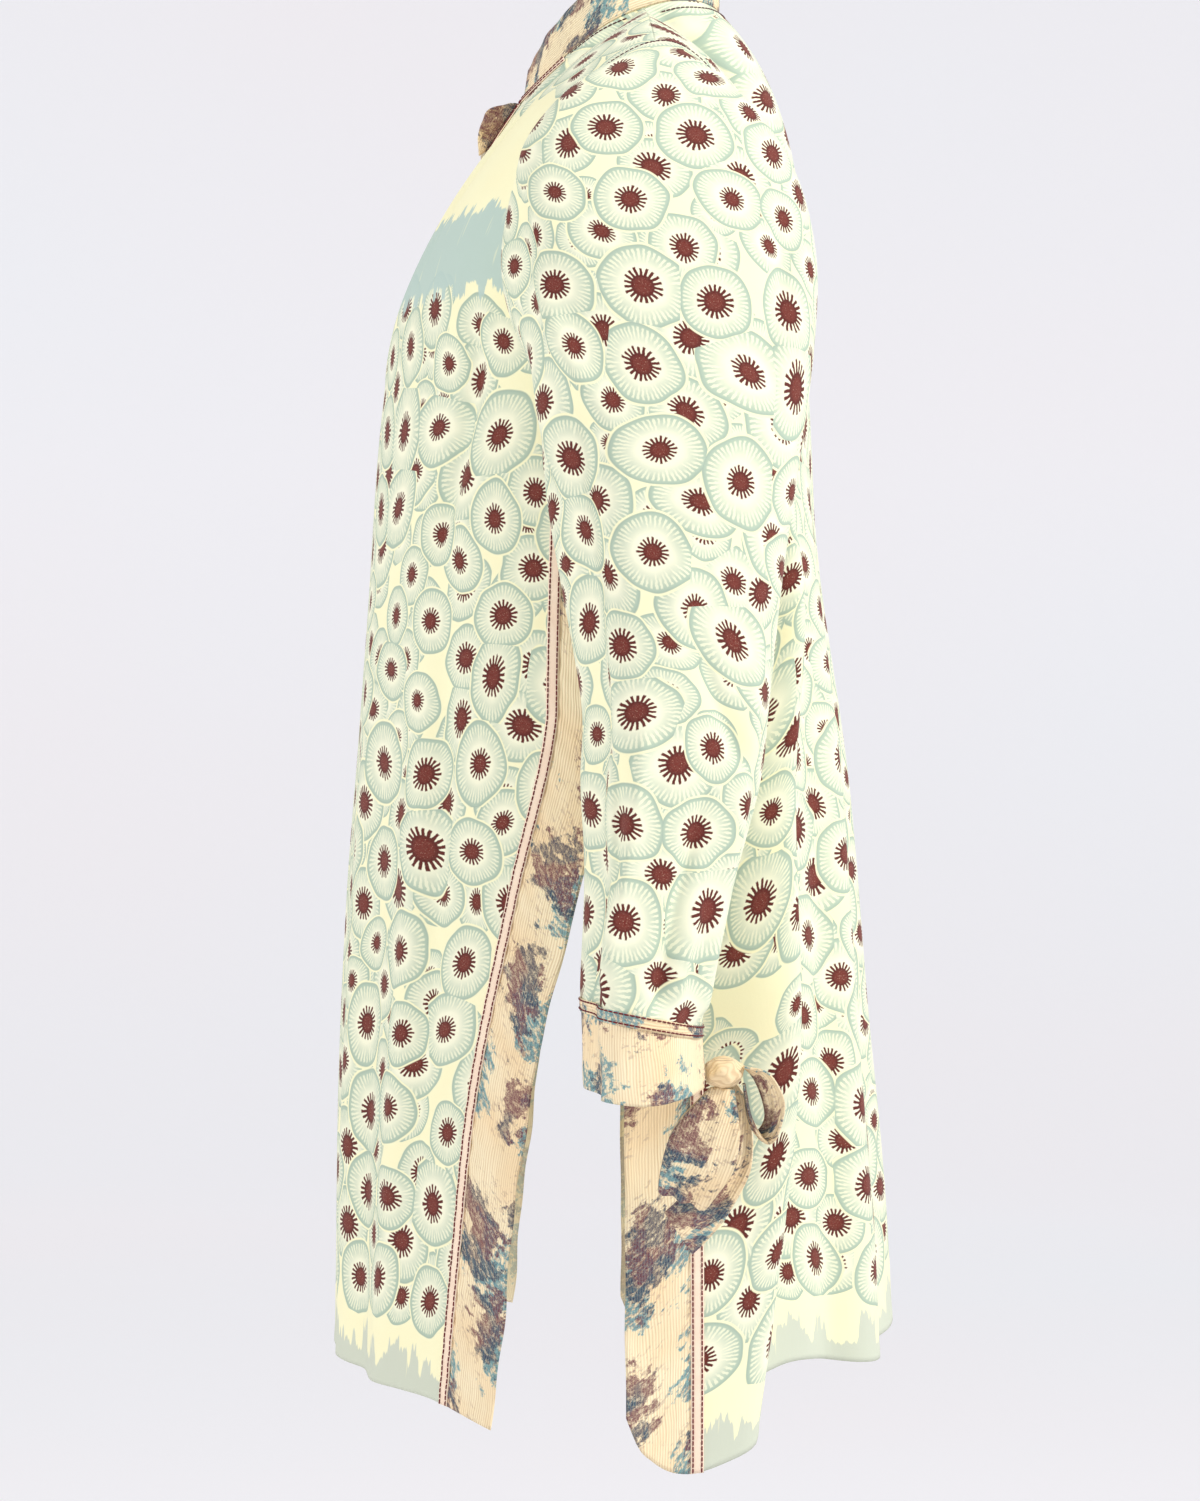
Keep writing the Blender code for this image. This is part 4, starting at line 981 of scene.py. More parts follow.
# Cloths as wall, materials and the record's slot, and threads as material and slot
PANEL_VOILE = (VOILE, both_faces(flowered_voile, "voile_panel", True, False), "flowered_voile")
FRONT_VOILE = (VOILE, both_faces(flowered_voile, "voile_front", True, True), "flowered_voile")
SLEEVE_VOILE = (VOILE, both_faces(flowered_voile, "voile_sleeve", False, False), "flowered_voile")
LEAFY_FACES = both_faces(leafy_crepe, "crepe_leafy")
CREPE_CLOTH = (CREPE, LEAFY_FACES, "mottled_crepe")
CREPE_COLLAR = (COLLAR_WALL, LEAFY_FACES, "mottled_crepe")
CREPE_TAPE = (TAPE, LEAFY_FACES, "mottled_crepe")
CREPE_TIE = (CREPE, LEAFY_FACES[:1], "mottled_crepe")
CREAM_TAPE = (TAPE, (plain_tape(),), "cream_tape")
RED_THREAD = (sewing_thread("thread_red", THREAD_RED), "cream_tape")
DARK_THREAD = (sewing_thread("thread_dark", THREAD_DARK), "flowered_voile")


# Meshes


def corners(grid):
    """The four corners of each cell of a grid, in order round it."""
    return np.stack((grid[:-1, :-1], grid[1:, :-1], grid[1:, 1:], grid[:-1, 1:]), axis=2)


def grid_mesh(grid, joined_rows):
    """Points and faces of a grid, whose first and last columns are joined in the first joined_rows rows."""
    rows, columns = grid.shape[:2]
    index = np.arange(rows * columns).reshape(rows, columns)
    index[:joined_rows, -1] = index[:joined_rows, 0]
    used, order = np.unique(corners(index).reshape(-1, 4), return_inverse=True)
    return grid.reshape(-1, 3)[used], order.reshape(-1, 4).tolist()


def smooth_mesh(name, points, faces, materials):
    """A mesh object at the origin, shaded smooth."""
    mesh = bpy.data.meshes.new(name)
    mesh.from_pydata(points.tolist(), [], faces)
    for material in materials:
        mesh.materials.append(material)
    mesh.shade_smooth()
    made = bpy.data.objects.new(name, mesh)
    bpy.context.scene.collection.objects.link(made)
    return made


def piece(name, points, faces, corner_at, materials, node=None):
    """A finished piece that rides on the body, with the cloth coordinates of each face's corners."""
    made = smooth_mesh(name, points, faces, materials)
    layer = made.data.uv_layers.new(name="cloth")
    layer.data.foreach_set("uv", np.asarray(corner_at, np.float32).ravel())
    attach(made, BODY)
    if node:
        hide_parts(node)
    return made


def cloth(node, end, grid, cloth_at, fabric, joined_rows=0):
    """A cloth piece in place of the solid node + end, with half its wall on each side of the grid."""
    wall, materials, slot = fabric
    points, faces = grid_mesh(grid, joined_rows)
    made = piece(node + "_cloth" + end, points, faces, corners(cloth_at), materials, node + end)
    thickness = made.modifiers.new("Wall", "SOLIDIFY")
    thickness.thickness = wall
    thickness.offset = 0.0
    thickness.use_even_offset = False
    thickness.material_offset = len(materials) - 1
    return made


def declare(grid, first_row=0):
    """Measures a sheet's widest row from the first row on, as its grid has it, and keeps nothing."""
    width = run_across(grid[first_row:])[:, -1].max()


def stitches(name, line, out, thread):
    """A row of stitches along a line that lies on the cloth: each is a short thread with rounded ends.

    The thread is five-sided, thickest in the middle and dipping into the cloth at both ends.
    """
    total = run(line)[-1]
    count = int(total / STITCH_PITCH)
    middles = (np.arange(count) + 0.5) * total / count
    centre = by_length(line, middles)
    along = unit(by_length(line, middles + 0.001) - by_length(line, middles - 0.001))
    up = np.stack([np.interp(middles, run(line), out[:, axis]) for axis in range(3)], axis=1)
    up = unit(up - (up * along).sum(axis=1, keepdims=True) * along)
    side = np.cross(along, up)
    place = np.array((-0.5, -0.32, 0.32, 0.5)) * STITCH_LENGTH
    radius = np.array((0.35, 1.0, 1.0, 0.35)) * THREAD
    dip = np.array((-0.7, 0.0, 0.0, -0.7)) * THREAD
    turn = np.arange(STITCH_SIDES) * TURN / STITCH_SIDES
    one_along = np.repeat(place, STITCH_SIDES)
    one_side = (radius[:, None] * np.cos(turn)).ravel()
    one_up = (dip[:, None] + radius[:, None] * np.sin(turn)).ravel()
    points = (centre[:, None] + one_along[None, :, None] * along[:, None]
              + one_side[None, :, None] * side[:, None] + one_up[None, :, None] * up[:, None])
    ring = np.arange(STITCH_SIDES)
    after = (ring + 1) % STITCH_SIDES
    band = np.stack((ring, after, after + STITCH_SIDES, ring + STITCH_SIDES), axis=1)
    walls = np.concatenate([band + STITCH_SIDES * step for step in range(len(place) - 1)])
    size = len(one_along)
    start = np.arange(count)[:, None, None] * size
    quads = (walls[None] + start).reshape(-1, 4)
    caps = np.concatenate((ring[::-1] + start[:, 0], size - STITCH_SIDES + ring + start[:, 0]))
    used = np.concatenate((quads.ravel(), caps.ravel()))
    local = used % size
    length_at = (local // STITCH_SIDES) * 0.001 + (used // size) * STITCH_PITCH
    at = np.stack(((local % STITCH_SIDES) / STITCH_SIDES, length_at), axis=1)
    return piece(name, points.reshape(-1, 3), quads.tolist() + caps.tolist(), at, thread[:1])


def seam_stitches(name, line, out):
    """A row of fine dark stitches on the voile beside a seam, on both sides of the tunic."""
    line = line + (0.5 * VOILE + 0.3 * THREAD) * out
    for label, mirror in SIDES:
        flip = (mirror, 1.0, 1.0)
        stitches(name + "_" + label, line * flip, out * flip, DARK_THREAD)


def tape_stitches(name, band, out):
    """Rows of stitches along a tape, at shares of its width, lying on its outer face."""
    made = []
    for number, share in enumerate(TAPE_STITCH_SHARES, 1):
        place = share * (band.shape[1] - 1)
        low = int(place)
        part = place - low
        line = band[:, low] * (1.0 - part) + band[:, low + 1] * part
        up = unit(out[:, low] * (1.0 - part) + out[:, low + 1] * part)
        line = line + (0.5 * TAPE + 0.5 * THREAD) * up
        made.append(stitches(f"{name}_{number}", line, up, RED_THREAD))
    return made


# Panels


def panel_fractions(side):
    """Columns of a panel's left half from the centre to the strip, one at each corner of its top edge."""
    if side == "front":
        ends = (0.0, *FRONT_YOKE_ENDS, 1.0)
        counts = (10, 14, 40)
    else:
        ends = (0.0, BACK_YOKE_END, 1.0)
        counts = (22, 44)
    spans = [np.linspace(low, high, count + 1)[1:] for low, high, count in zip(ends, ends[1:], counts)]
    return np.concatenate(([0.0], *spans))


def panel(side, fold_table, fabric):
    """Front or back panel: the yoke over the skirt, with soft folds that ease off towards its seams.

    Its cloth coordinates are the length across from the centre line and the length up from the hem. Near the
    neck the length across counts the sideways part of each step alone.
    """
    fractions = panel_fractions(side)
    depths = np.linspace(0.0, 1.0, PANEL_YOKE_ROWS + 1) ** 1.2
    yoke = yoke_points(side, fractions, depths)
    share = np.linspace(0.0, 1.0, PANEL_SKIRT_ROWS + 1)[1:, None]
    hem = hem_height(side, 2.0 - fractions)[None, :]
    skirt = body_points(side, 2.0 - fractions, YOKE_HEIGHT + share * (hem - YOKE_HEIGHT))
    half = np.vstack((yoke, skirt))
    follow = np.maximum(ease(fractions, 0.30, 0.80)[None, :], ease(depths, 0.2, 0.95)[:, None])
    follow = np.vstack((follow, np.ones((PANEL_SKIRT_ROWS, len(fractions)))))[:, 1:, None]
    steps = np.diff(half, axis=1)
    steps[..., 1:] *= follow
    steps = np.linalg.norm(steps, axis=2)
    across = half[:, :1, 0] + np.hstack((np.zeros_like(steps[:, :1]), np.cumsum(steps, axis=1)))
    up = run_up(half)
    across = np.hstack((-across[:, :0:-1], across))
    up = np.hstack((up[:, :0:-1], up))
    from_strip = ease(np.abs(across[:, -1:]) - np.abs(across), 0.005, 0.035)
    rise = folds(fold_table, across, up) * from_strip * ease(up[:1] - up, 0.006, 0.060)
    sway = 0.0009 * np.sin(across * 78.0 + 1.4 * np.sin(up * 9.0)) * (1.0 - ease(up, 0.05, 0.60))
    rise = rise + sway * from_strip
    rise = rise + 0.0003 * (1.0 - ease(up, 0.0055, 0.0070))
    grid = both_halves(half)
    out = outward(grid)
    grid, cloth_at = turned_out(grid + rise[..., None] * out, np.stack((across, up), axis=2), out)
    made = cloth(side + "_panel", "", grid, cloth_at, fabric)
    declare(grid, first_row=PANEL_YOKE_ROWS)


def yoke_stitches(name, side, low, high):
    """A row of fine dark stitches along part of a yoke's top edge, from one fraction to another."""
    rows = yoke_points(side, np.linspace(low, high, SEAM_ROW_POINTS), (0.018, 0.028, 0.038))
    out = normals(rows)[1]
    seam_stitches(name, rows[1], out * np.sign(out[:, 2:]))


panel("front", FRONT_FOLDS, FRONT_VOILE)
panel("back", BACK_FOLDS, PANEL_VOILE)
yoke_stitches("neck_stitches_front", "front", 0.275, FRONT_YOKE_ENDS[1] - 0.01)
yoke_stitches("neck_stitches_back", "back", 0.0, BACK_YOKE_END - 0.01)


# Side strips and their tapes


def strip_grid(side, reaches):
    """Points of a side strip or its tape, from the armhole down to the hem, and their cloth coordinates."""
    inside = reaches.clip(0, STRIP_WIDTH)
    turns = 0.5 - 0.1 * inside / STRIP_WIDTH
    top = armhole(turns if side == "front" else 1.0 - turns)[:, 2]
    share = np.linspace(0.0, 1.0, STRIP_ROWS)[:, None]
    grid = body_points(side, reaches, top[None, :] + share * (hem_height(side, inside) - top)[None, :])
    return grid, np.stack((np.broadcast_to(reaches, grid.shape[:2]), -run(grid)), axis=2)


def side_strip(side):
    """Contrast strip between the panel and the side, with the tape and its stitches over the inner seam.

    The strip's free edge waves a little below the top of the slit.
    """
    reaches = np.linspace(0.0, STRIP_WIDTH, STRIP_COLUMNS)
    grid, cloth_at = strip_grid(side, reaches)
    tape, tape_at = strip_grid(side, STRIP_WIDTH + np.linspace(-0.5, 0.5, TAPE_COLUMNS) * TAPE_WIDTH)
    down = run(grid)
    free = (1.0 - ease(reaches, 0.004, 0.030))[None, :] * ease(down, 0.20, 0.36)
    first = STRIP_TAPE_FIRST_ROW
    for label, mirror in SIDES:
        points = grid * (mirror, 1.0, 1.0)
        band = tape * (mirror, 1.0, 1.0)
        out = facing(points, (mirror, 0.0, 0.0))
        band_out = facing(band, (mirror, 0.0, 0.0))
        length = down + 0.02 * mirror
        wave = 0.0011 * np.sin(length * 58.0) + 0.0008 * np.sin(length * 131.0 + 1.0)
        ruck = 0.0003 * np.sin(length * 420.0 + 2.0 * np.sin(length * 60.0)) * ease(reaches, 0.015, 0.030)
        pucker = 0.00015 * np.sin(run(band) * 480.0 + 1.5 * np.sin(run(band) * 50.0))
        points = points + (wave * free + ruck)[..., None] * out
        band = band + (TAPE_LIFT + pucker)[..., None] * band_out
        start = STRIP_STARTS[side] + (0.0 if mirror > 0 else RIGHT_STRIP_SHIFT)
        end = "_" + side + "_" + label
        points, at = turned_out(points, cloth_at + (start, 0.0), out)
        made = cloth("side_strip", end, points, at, CREPE_CLOTH)
        turned, at = turned_out(band, tape_at, band_out)
        sewn = cloth("strip_tape", end, turned[first:], at[first:], CREAM_TAPE)
        rows = tape_stitches("strip_stitches" + end, band[first:], band_out[first:])
        declare(points)


side_strip("front")
side_strip("back")


# Sleeves and cuffs


def sleeve_sections(turns):
    """Rings of the left sleeve: the armhole, a ring led straight out of it, then the table's sections."""
    angle = TURN * turns
    table = {name: np.array(values) for name, values in SLEEVE_SECTIONS.items()}
    forward = np.sin(angle)[None, :] > 0.0
    depth = np.where(forward, table["front_depth"][:, None], table["back_depth"][:, None])
    middle_x = 0.5 * (table["outer_x"] + table["inner_x"])[:, None]
    middle_z = 0.5 * (table["outer_z"] + table["inner_z"])[:, None]
    half_x = 0.5 * (table["outer_x"] - table["inner_x"])[:, None]
    half_z = 0.5 * (table["outer_z"] - table["inner_z"])[:, None]
    x = middle_x + half_x * np.cos(angle)
    y = table["centre_y"][:, None] - depth * np.sin(angle)
    z = middle_z + half_z * np.cos(angle)
    rings = np.stack((x, y, z), axis=2)
    slant = np.zeros(len(rings))
    slant[-3:-1] = (0.5 * CUFF_TOP_SLANT, CUFF_TOP_SLANT)
    rings[..., 2] += slant[:, None] * np.sin(angle)
    rings[-1, :, 2] += CUFF_HEM_RISE * np.sin(angle) ** 2
    seam = armhole(turns)
    lead = seam + np.array((SLEEVE_LEAD_OUT, 0.0, 0.0))
    lead[:, 2] -= SLEEVE_LEAD_DROP * np.clip(np.cos(angle), 0.0, 1.0)
    return np.concatenate((seam[None], lead[None], rings))


def lapped(fold, angle, section):
    """How far a lapped fold has grown at each section, and how far its wavering line lies past each angle."""
    start, full, fading, end = fold["sections"]
    grown = ease(section, start, full) * (1.0 - ease(section, fading, end))
    share = np.clip((section - start) / (end - start), 0.0, 1.0)
    line = fold["angles"][0] + share * (fold["angles"][1] - fold["angles"][0])
    line = line + 1.6 * np.sin(section * 1.9) + 0.9 * np.sin(section * 4.3 + 1.0)
    return grown, np.radians(line) - angle


def step_folds(angle, section):
    """Height of the folds that lap one layer over the next, at angles round the sleeve and sections down it.

    Each is a logistic step across its line that eases off behind it, with a shallow dip in front of it.
    """
    total = np.zeros(np.broadcast(angle, section).shape)
    for fold in SLEEVE_STEPS:
        grown, past = lapped(fold, angle, section)
        step = 1.0 / (1.0 + np.exp(-fold["sharp"] * past))
        fade = np.exp(-((np.clip(past, 0.0, None) / fold["ease"]) ** 2))
        dip = np.exp(-(((past + 0.22) / 0.20) ** 2))
        total = total + fold["height"] * grown * (step * fade - 0.40 * dip)
    return total


def hidden_cloth(angle, section):
    """Length of cloth tucked under the lapped folds, counted round the sleeve from its front."""
    total = np.zeros(np.broadcast(angle, section).shape)
    for fold in SLEEVE_STEPS:
        grown, past = lapped(fold, angle, section)
        total = total + fold["tuck"] * grown * ease(past, -0.030, 0.030)
    return total


def sleeve_angle(turns):
    """Angle round the sleeve in radians, from -pi to pi, with 0 at its outer line and the front above 0."""
    angle = TURN * turns
    return np.where(angle > np.pi, angle - TURN, angle)


def sleeve_points(turns, sections):
    """Points of the left sleeve; sections counts from 0 at the armhole to 11 at the cuff's lower edge."""
    rings = sleeve_sections(turns)
    knots = np.concatenate(((0.0, SLEEVE_LEAD), np.arange(1, len(rings) - 1)))
    grid = smooth(knots, rings, sections)
    angle = sleeve_angle(turns)
    push = step_folds(angle[None, :], np.asarray(sections)[:, None])
    grid[..., 0] += push * np.cos(angle) * 0.9
    grid[..., 1] -= push * np.sin(angle) * 0.6
    return grid


def slit(grid, half_angles):
    """The tube's rows drawn back from the slit line by their own half angle in degrees, along the rows."""
    place = np.linspace(-180.0, 180.0, grid.shape[1])
    slid = place[None, :] * (180.0 - np.asarray(half_angles)[:, None]) / 180.0
    out = np.empty_like(grid)
    for row, at in enumerate(slid):
        out[row] = np.stack([np.interp(at, place, grid[row, :, axis]) for axis in range(3)], axis=1)
    return out


SLEEVE_TURNS = 0.25 + np.linspace(-0.5, 0.5, SLEEVE_COLUMNS + 1)


def sleeve_cloth_at(grid, sections):
    """Cloth coordinates of a sleeve grid: length round from its outer line, tucks counted, and length up."""
    around = run_across(grid)
    zero = np.argmin(np.abs(SLEEVE_TURNS))
    around = around - around[:, zero: zero + 1]
    around = around - hidden_cloth(sleeve_angle(SLEEVE_TURNS)[None, :], np.asarray(sections)[:, None])
    return np.stack((around, run_up(grid)), axis=2)


def sleeves():
    """Both long sleeves: a tube from armhole to cuff with lapped and soft folds, slit at the wrist's back."""
    upper = np.linspace(0.0, 1.0, SLEEVE_UPPER_ROWS)
    lower = np.linspace(1.0, CUFF_TOP_SECTION, SLEEVE_ROWS - SLEEVE_UPPER_ROWS + 1)[1:]
    sections = np.concatenate((upper, lower))
    base = sleeve_points(SLEEVE_TURNS % 1.0, sections)
    base = slit(base, SLIT_HALF_ANGLE * ease(sections, SLIT_SECTION, CUFF_TOP_SECTION))
    cloth_at = sleeve_cloth_at(base, sections)
    around, up = cloth_at[..., 0], cloth_at[..., 1]
    out = outward(base)
    joined = int((sections <= SLIT_SECTION).sum())
    from_body = ease(base[..., 0], 0.215, 0.235)
    from_edge = ease(SLEEVE_TURNS, -0.25, -0.22) * (1.0 - ease(SLEEVE_TURNS, 0.72, 0.75))
    for label, mirror in SIDES:
        stretch, move, print_start = SLEEVE_CHANGES[label]
        rise = folds(SLEEVE_FOLDS, around, up * stretch + move)
        rise = rise * ease(up, 0.003, 0.018) * ease(up[:1] - up, 0.004, 0.050)
        gather = 0.00055 * np.sin(around * 310.0 + 1.2 * np.sin(around * 40.0 + mirror))
        gather = gather * (1.0 - ease(up, 0.002, 0.045))
        rise = (rise * from_body + gather) * from_edge[None, :]
        flip = (mirror, 1.0, 1.0)
        points = (base + rise[..., None] * out) * flip
        points, at = turned_out(points, cloth_at + print_start, out * flip)
        made = cloth("sleeve", "_" + label, points, at, SLEEVE_VOILE, joined)
        declare(points)


def armhole_stitches():
    """A row of fine dark stitches round each armhole, on the sleeve just past the seam."""
    rows = sleeve_points(np.linspace(0.0, 1.0, 2 * SEAM_ROW_POINTS), np.array((0.04, 0.08, 0.12)))
    seam_stitches("armhole_stitches", rows[1], outward(rows)[1])


def cuffs():
    """The cuff below each sleeve, open at the back, and the tape over the seam with two rows of stitches."""
    turns = SLEEVE_TURNS % 1.0
    sections = np.linspace(CUFF_TOP_SECTION, CUFF_TOP_SECTION + 1.0, CUFF_ROWS)
    angles = smooth((0.0, 1.0 / 3.0, 2.0 / 3.0, 1.0), CUFF_HALF_ANGLES, sections - CUFF_TOP_SECTION)
    base = slit(sleeve_points(turns, sections), angles)
    cloth_at = sleeve_cloth_at(base, sections)
    around, up = cloth_at[..., 0], cloth_at[..., 1]
    out = outward(base)
    half_tape = 0.5 * TAPE_WIDTH / ABOVE_CUFF_HEIGHT
    tape_sections = CUFF_TOP_SECTION + np.linspace(-half_tape, 0.5 * half_tape, CUFF_TAPE_ROWS)
    tape = slit(sleeve_points(turns, tape_sections), np.full(CUFF_TAPE_ROWS, SLIT_HALF_ANGLE + 1.0))
    tape_at = sleeve_cloth_at(tape, tape_sections)[..., ::-1]
    tape_out = outward(tape)
    tape = tape + TAPE_LIFT * tape_out
    for label, mirror in SIDES:
        flip = (mirror, 1.0, 1.0)
        ruck = 0.0008 * np.sin(around * 95.0 + 2.2 * np.sin(up * 60.0) + mirror)
        ruck = ruck + 0.0004 * np.sin(around * 260.0 + 1.5 * np.sin(up * 90.0))
        ruck = ruck * (1.0 - ease(up, 0.020, 0.036))
        grid = (base + ruck[..., None] * out) * flip
        points, at = turned_out(grid, cloth_at * (1.0, -1.0) + (CUFF_START + mirror, 0.0), out * flip)
        made = cloth("cuff", "_" + label, points, at, CREPE_CLOTH)
        band = tape * flip
        band_out = tape_out * flip
        points, at = turned_out(band, tape_at, band_out)
        sewn = cloth("cuff_tape", "_" + label, points, at, CREPE_TAPE)
        rows = tape_stitches("cuff_stitches_" + label, band.transpose(1, 0, 2), band_out.transpose(1, 0, 2))
        declare(grid)


sleeves()
armhole_stitches()
cuffs()


# Collar, front opening and facings


def collar():
    """Stand collar: a band on the neckline, low at its open ends, whose upper edge leans in and waves."""
    along = np.linspace(0.0, 1.0, COLLAR_COLUMNS)
    base = neckline(along)
    height = smooth(COLLAR["along"], COLLAR["height"], along)
    lean = smooth(COLLAR["along"], COLLAR["lean"], along)
    inward = unit(-base * (1.0, 1.0, 0.0))
    share = np.linspace(1.0, 0.0, COLLAR_ROWS)[:, None]
    wave = 0.0008 * np.sin(along * 31.0) * share + 0.0005 * np.sin(along * 73.0 + 1.0) * share
    half = base[None] + inward[None] * (lean * share + wave)[..., None]
    half[..., 2] += height * share
    grid = both_halves(half[:, ::-1])
    cloth_at = np.stack((-run_up(grid), run_across(grid) + COLLAR_START), axis=2)
    points, at = turned_out(grid, cloth_at, facing(grid, grid * (1.0, 1.0, 0.0)))
    made = cloth("collar", "", points, at, CREPE_COLLAR)
    declare(points)


def on_front_yoke(places):
    """Points and outward normals of the front yoke at the given places, each an x and a z.

    The nearest point of a fine grid is corrected along its own two directions.
    """
    grid = yoke_points("front", np.linspace(0.0, 0.5, 90), np.linspace(0.0, 1.0, 120))
    across = np.gradient(grid, axis=1).reshape(-1, 3)
    down = np.gradient(grid, axis=0).reshape(-1, 3)
    points = grid.reshape(-1, 3)
    distance = np.linalg.norm(points[None][..., (0, 2)] - places[:, None], axis=2)
    at = distance.argmin(axis=1)
    steps = np.stack((across[at], down[at]), axis=2)
    shares = np.linalg.solve(steps[:, (0, 2)], (places - points[at][:, (0, 2)])[..., None])
    found = points[at] + (steps @ shares)[..., 0]
    out = np.cross(across[at], down[at])
    return found, unit(-np.sign(out[:, 1:2]) * out)


def opening_tapes():
    """Tape up each edge of the front opening, round its corner and along the neckline, with its stitches."""
    line = np.vstack((opening_edge(np.linspace(0.02, 0.97, 60)), neckline(np.linspace(0.0, 0.22, 24))))
    flat = line[:, (0, 2)]
    steps = unit(np.diff(flat, axis=0))
    before = np.vstack((steps[:1], steps))
    after = np.vstack((steps, steps[-1:]))
    tangent = (before + after) / (1.0 + (before * after).sum(axis=1, keepdims=True))
    inward = np.stack((tangent[:, 1], -tangent[:, 0]), axis=1)
    foreshorten = np.sqrt(inward[:, 0] ** 2 + (YOKE_SLOPE_SHARE * inward[:, 1]) ** 2)[:, None]
    columns = []
    outs = []
    for reach in np.linspace(0.0002, TAPE_WIDTH, TAPE_COLUMNS):
        points, out = on_front_yoke(flat + inward * reach * foreshorten)
        columns.append(points + TAPE_LIFT * out)
        outs.append(out)
    grid = np.stack(columns, axis=1)
    out = np.stack(outs, axis=1)
    width = np.broadcast_to(np.linspace(0.0, TAPE_WIDTH, TAPE_COLUMNS), grid.shape[:2])
    cloth_at = np.stack((width, run(grid)), axis=2)
    for label, mirror in SIDES:
        band = grid * (mirror, 1.0, 1.0)
        band_out = out * (mirror, 1.0, 1.0)
        points, at = turned_out(band, cloth_at, band_out)
        cloth("opening_tape", "_" + label, points, at, CREAM_TAPE)
        tape_stitches("opening_stitches_" + label, band, band_out)


def facings():
    """Small flaps of crepe turned out at the top of the front opening: straight across, slightly rippled."""
    where = np.linspace(FACING["along"][0], FACING["along"][-1], FACING_ROWS)
    reach = [smooth(FACING["along"], FACING[axis], where) for axis in ("out_x", "out_y", "out_z")]
    root = opening_edge(where)
    share = np.linspace(0.0, 1.0, FACING_COLUMNS)[None, :, None]
    start = root + FACING_ROOT_SHIFT
    grid = start[:, None] + share * (root + np.stack(reach, axis=1) - start)[:, None]
    grid[..., 0] += 0.0012 * np.sin(share[..., 0] * np.pi) * np.sin(where * 60.0)[:, None]
    cloth_at = np.stack((run_across(grid), run(grid)), axis=2)
    for label, mirror in SIDES:
        points = grid * (mirror, 1.0, 1.0)
        points, at = turned_out(points, cloth_at + (FACING_START + mirror, 0.0), (mirror, 0.0, 0.0))
        made = cloth("neck_facing", "_" + label, points, at, CREPE_CLOTH)
        declare(points)


collar()
opening_tapes()
facings()


# Bows


def ribbon(name, path, steps, crease):
    """A tie's band: its table's centre line, half width and way across, with lengthwise creases.

    Across the band q runs from -1 to 1, and the height is crease * cos(2.5 pi q + a slow turn along it).
    """
    across = unit(np.stack([path[axis] for axis in ("across_x", "across_y", "across_z")], axis=1))
    half = np.array(path["half_width"])[:, None] * across
    knots = np.arange(len(half))
    where = np.linspace(0.0, knots[-1], steps)
    middle = smooth(knots, xyz(path), where)
    side = smooth(knots, half, where)
    q = np.linspace(-1.0, 1.0, RIBBON_COLUMNS)
    grid = middle[:, None] + side[:, None] * q[None, :, None]
    out = normals(grid)
    ends = np.minimum(1.0, 4.0 * np.minimum(where, knots[-1] - where) / knots[-1])[:, None]
    height = crease * np.cos(2.5 * np.pi * q[None, :] + 0.8 * where[:, None]) * (0.35 + 0.65 * ends)
    grid = grid + height[..., None] * out
    width = np.linalg.norm(side, axis=1)[:, None] * q[None, :]
    for label, mirror in SIDES:
        order = slice(None, None, int(mirror))
        points = (grid * (mirror, 1.0, 1.0))[:, order]
        at = np.stack((width + TIE_START + mirror, run(grid)), axis=2)[:, order]
        band = cloth(name, "_" + label, points, at, CREPE_TIE)
        declare(points)


def knot():
    """The bow's knot: a ball whose radius waves with slantwise folds, closed at its poles."""
    down = np.linspace(0.0, np.pi, KNOT_ROWS)[1:-1, None]
    turn = np.arange(KNOT_COLUMNS)[None, :] * TURN / KNOT_COLUMNS
    swell = 0.97 + 0.090 * np.cos(4.0 * turn + 5.0 * down) * np.sin(down) ** 2
    swell = swell + 0.035 * np.cos(7.0 * turn - 4.0 * down) * np.sin(down) ** 2
    ball = (np.sin(down) * np.cos(turn), np.sin(down) * np.sin(turn), np.cos(down) + 0.0 * turn)
    ball = np.stack(ball, axis=2) * swell[..., None]
    points = np.vstack((ball.reshape(-1, 3), (0.0, 0.0, 1.0), (0.0, 0.0, -1.0)))
    points = np.array(KNOT_CENTRE) + points * np.array(KNOT_RADII)
    index = np.arange((KNOT_ROWS - 2) * KNOT_COLUMNS).reshape(KNOT_ROWS - 2, KNOT_COLUMNS)
    top = np.full(KNOT_COLUMNS, index.size)
    index = np.hstack((index, index[:, :1]))
    quads = corners(index).reshape(-1, 4)
    cap = np.stack((top, index[0, :-1], index[0, 1:]), axis=1)
    base = np.stack((index[-1, :-1], top + 1, index[-1, 1:]), axis=1)
    threes = np.vstack((cap, base))
    for label, mirror in SIDES:
        placed = points * (mirror, 1.0, 1.0)
        order = slice(None, None, int(mirror))
        used = np.concatenate((quads[:, order].ravel(), threes[:, order].ravel()))
        at = placed[used][:, (0, 2)] * (mirror, 1.0) + KNOT_CLOTH_SHIFT
        faces = quads[:, order].tolist() + threes[:, order].tolist()
        _, materials, slot = CREPE_TIE
        piece("tie_knot_cloth_" + label, placed, faces, at, materials, "tie_knot_" + label)


ribbon("tie_loop_broad", BROAD_LOOP, 110, 0.0011)
ribbon("tie_loop_small", SMALL_LOOP, 80, 0.0008)
ribbon("tie_tail", TIE_TAIL, 70, 0.0010)
knot()


# Stage, light and camera

CAMERA_PLACE = (2.2, -0.0232, -0.4237)
FIELD_HEIGHT = 0.8706
FLOOR_HEIGHT = -1.35
BACKDROP_RADIUS = 7.0
BACKDROP_BEND = 1.6
BACKDROP_TOP = 2.2
BACKDROP_GLOW = 0.56


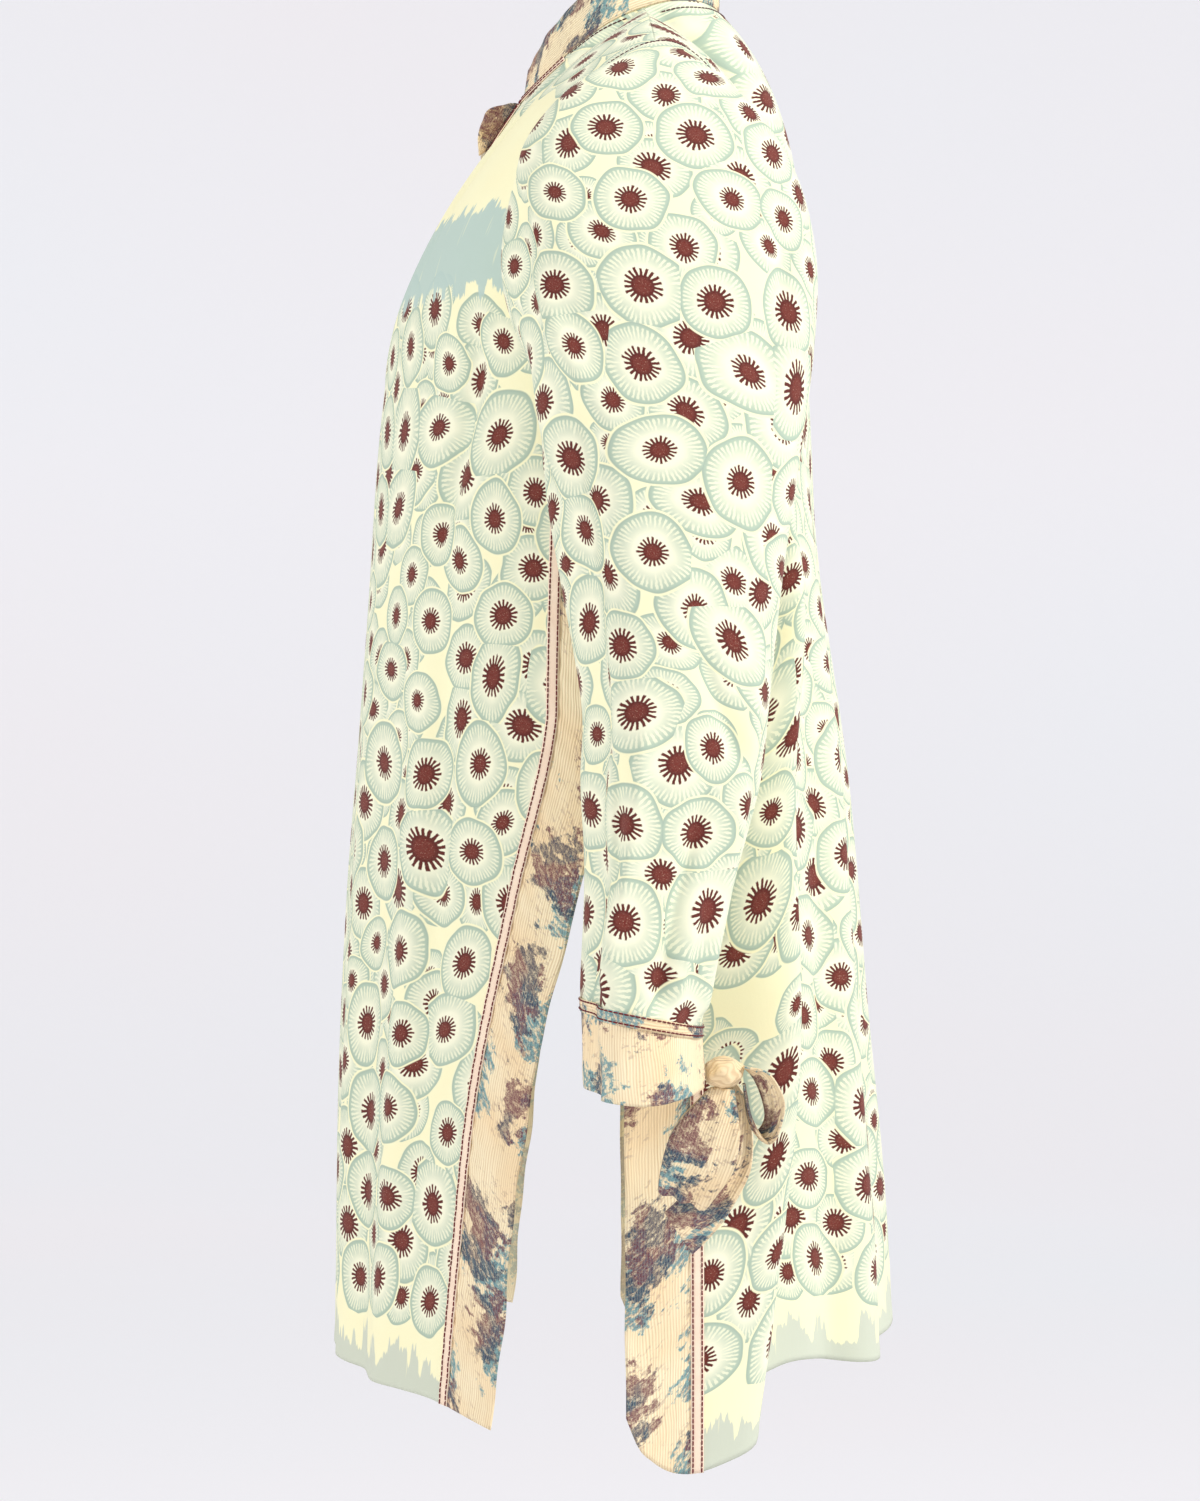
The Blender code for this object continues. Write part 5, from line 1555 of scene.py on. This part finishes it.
def backdrop():
    """A pale round floor that curves up into a low wall all round: a profile turned about the upright axis.

    It glows a little, as paper that is lit on its own does.
    """
    bend = np.linspace(0.0, 0.5 * np.pi, 16)
    flat = BACKDROP_RADIUS - BACKDROP_BEND
    radius = np.concatenate(([0.001, 1.0, 3.0], flat + BACKDROP_BEND * np.sin(bend), [BACKDROP_RADIUS]))
    z = np.concatenate((np.zeros(3), BACKDROP_BEND * (1.0 - np.cos(bend)), [BACKDROP_TOP - FLOOR_HEIGHT]))
    turn = np.linspace(0.0, TURN, 97)
    x, y = radius[:, None] * np.cos(turn), radius[:, None] * np.sin(turn)
    grid = np.stack(np.broadcast_arrays(x, y, z[:, None] + FLOOR_HEIGHT), axis=2)
    material = bpy.data.materials.new("studio_paper")
    material.use_nodes = True
    tree = material.node_tree
    place = tree.nodes.new("ShaderNodeTexCoord")
    grain = noise(tree, place.outputs["Object"], 0.6, 2.0)
    shader = tree.nodes["Principled BSDF"]
    paper = mix(tree, grain, colour(182, 178, 180), colour(178, 180, 184))
    glow = mix(tree, grain, colour(246, 240, 243), colour(240, 245, 249))
    tree.links.new(paper, shader.inputs["Base Color"])
    tree.links.new(glow, shader.inputs["Emission Color"])
    shader.inputs["Emission Strength"].default_value = BACKDROP_GLOW
    shader.inputs["Roughness"].default_value = 0.95
    smooth_mesh("backdrop", *grid_mesh(grid, len(grid)), (material,))


def light(name, place, target, size, power, tint):
    """A soft square lamp that points at a target."""
    lamp = bpy.data.lights.new(name, "AREA")
    lamp.size = size
    lamp.energy = power
    lamp.color = tint
    made = bpy.data.objects.new(name, lamp)
    made.location = place
    way = np.array(target) - np.array(place)
    made.rotation_euler = Vector(way).to_track_quat("-Z", "Y").to_euler()
    bpy.context.scene.collection.objects.link(made)


def studio():
    """Soft light from above at the tunic's back left, a weaker fill at its front left, and a pale world.

    A faint lamp on the far side lights its edge.
    """
    middle = (0.0, -0.02, -0.40)
    light("key", (1.3, 2.3, 1.6), middle, 0.7, 80.0, (1.0, 0.995, 0.98))
    light("fill", (1.5, -2.4, 1.0), middle, 1.4, 32.0, (0.99, 0.995, 1.0))
    light("rim", (-1.2, -0.4, 1.8), middle, 1.6, 8.0, (1.0, 1.0, 1.0))
    world = bpy.data.worlds.new("studio")
    bpy.context.scene.world = world
    world.use_nodes = True
    sky = world.node_tree.nodes["Background"]
    sky.inputs["Color"].default_value = (1.0, 0.99, 0.995, 1.0)
    sky.inputs["Strength"].default_value = 0.44


def camera():
    """The photograph's camera: level, at the wearer's left, with the frame's longer side as sensor width."""
    lens = bpy.data.cameras.new("camera")
    lens.sensor_width = 36.0
    lens.lens = 0.5 * lens.sensor_width / (0.5 * FIELD_HEIGHT / CAMERA_PLACE[0])
    lens.clip_end = 50.0
    made = bpy.data.objects.new("camera", lens)
    made.location = CAMERA_PLACE
    made.rotation_euler = (0.5 * np.pi, 0.0, 0.5 * np.pi)
    bpy.context.scene.collection.objects.link(made)
    bpy.context.scene.camera = made
    bpy.context.scene.view_settings.view_transform = "Standard"


backdrop()
studio()
camera()

bpy.context.view_layer.update()
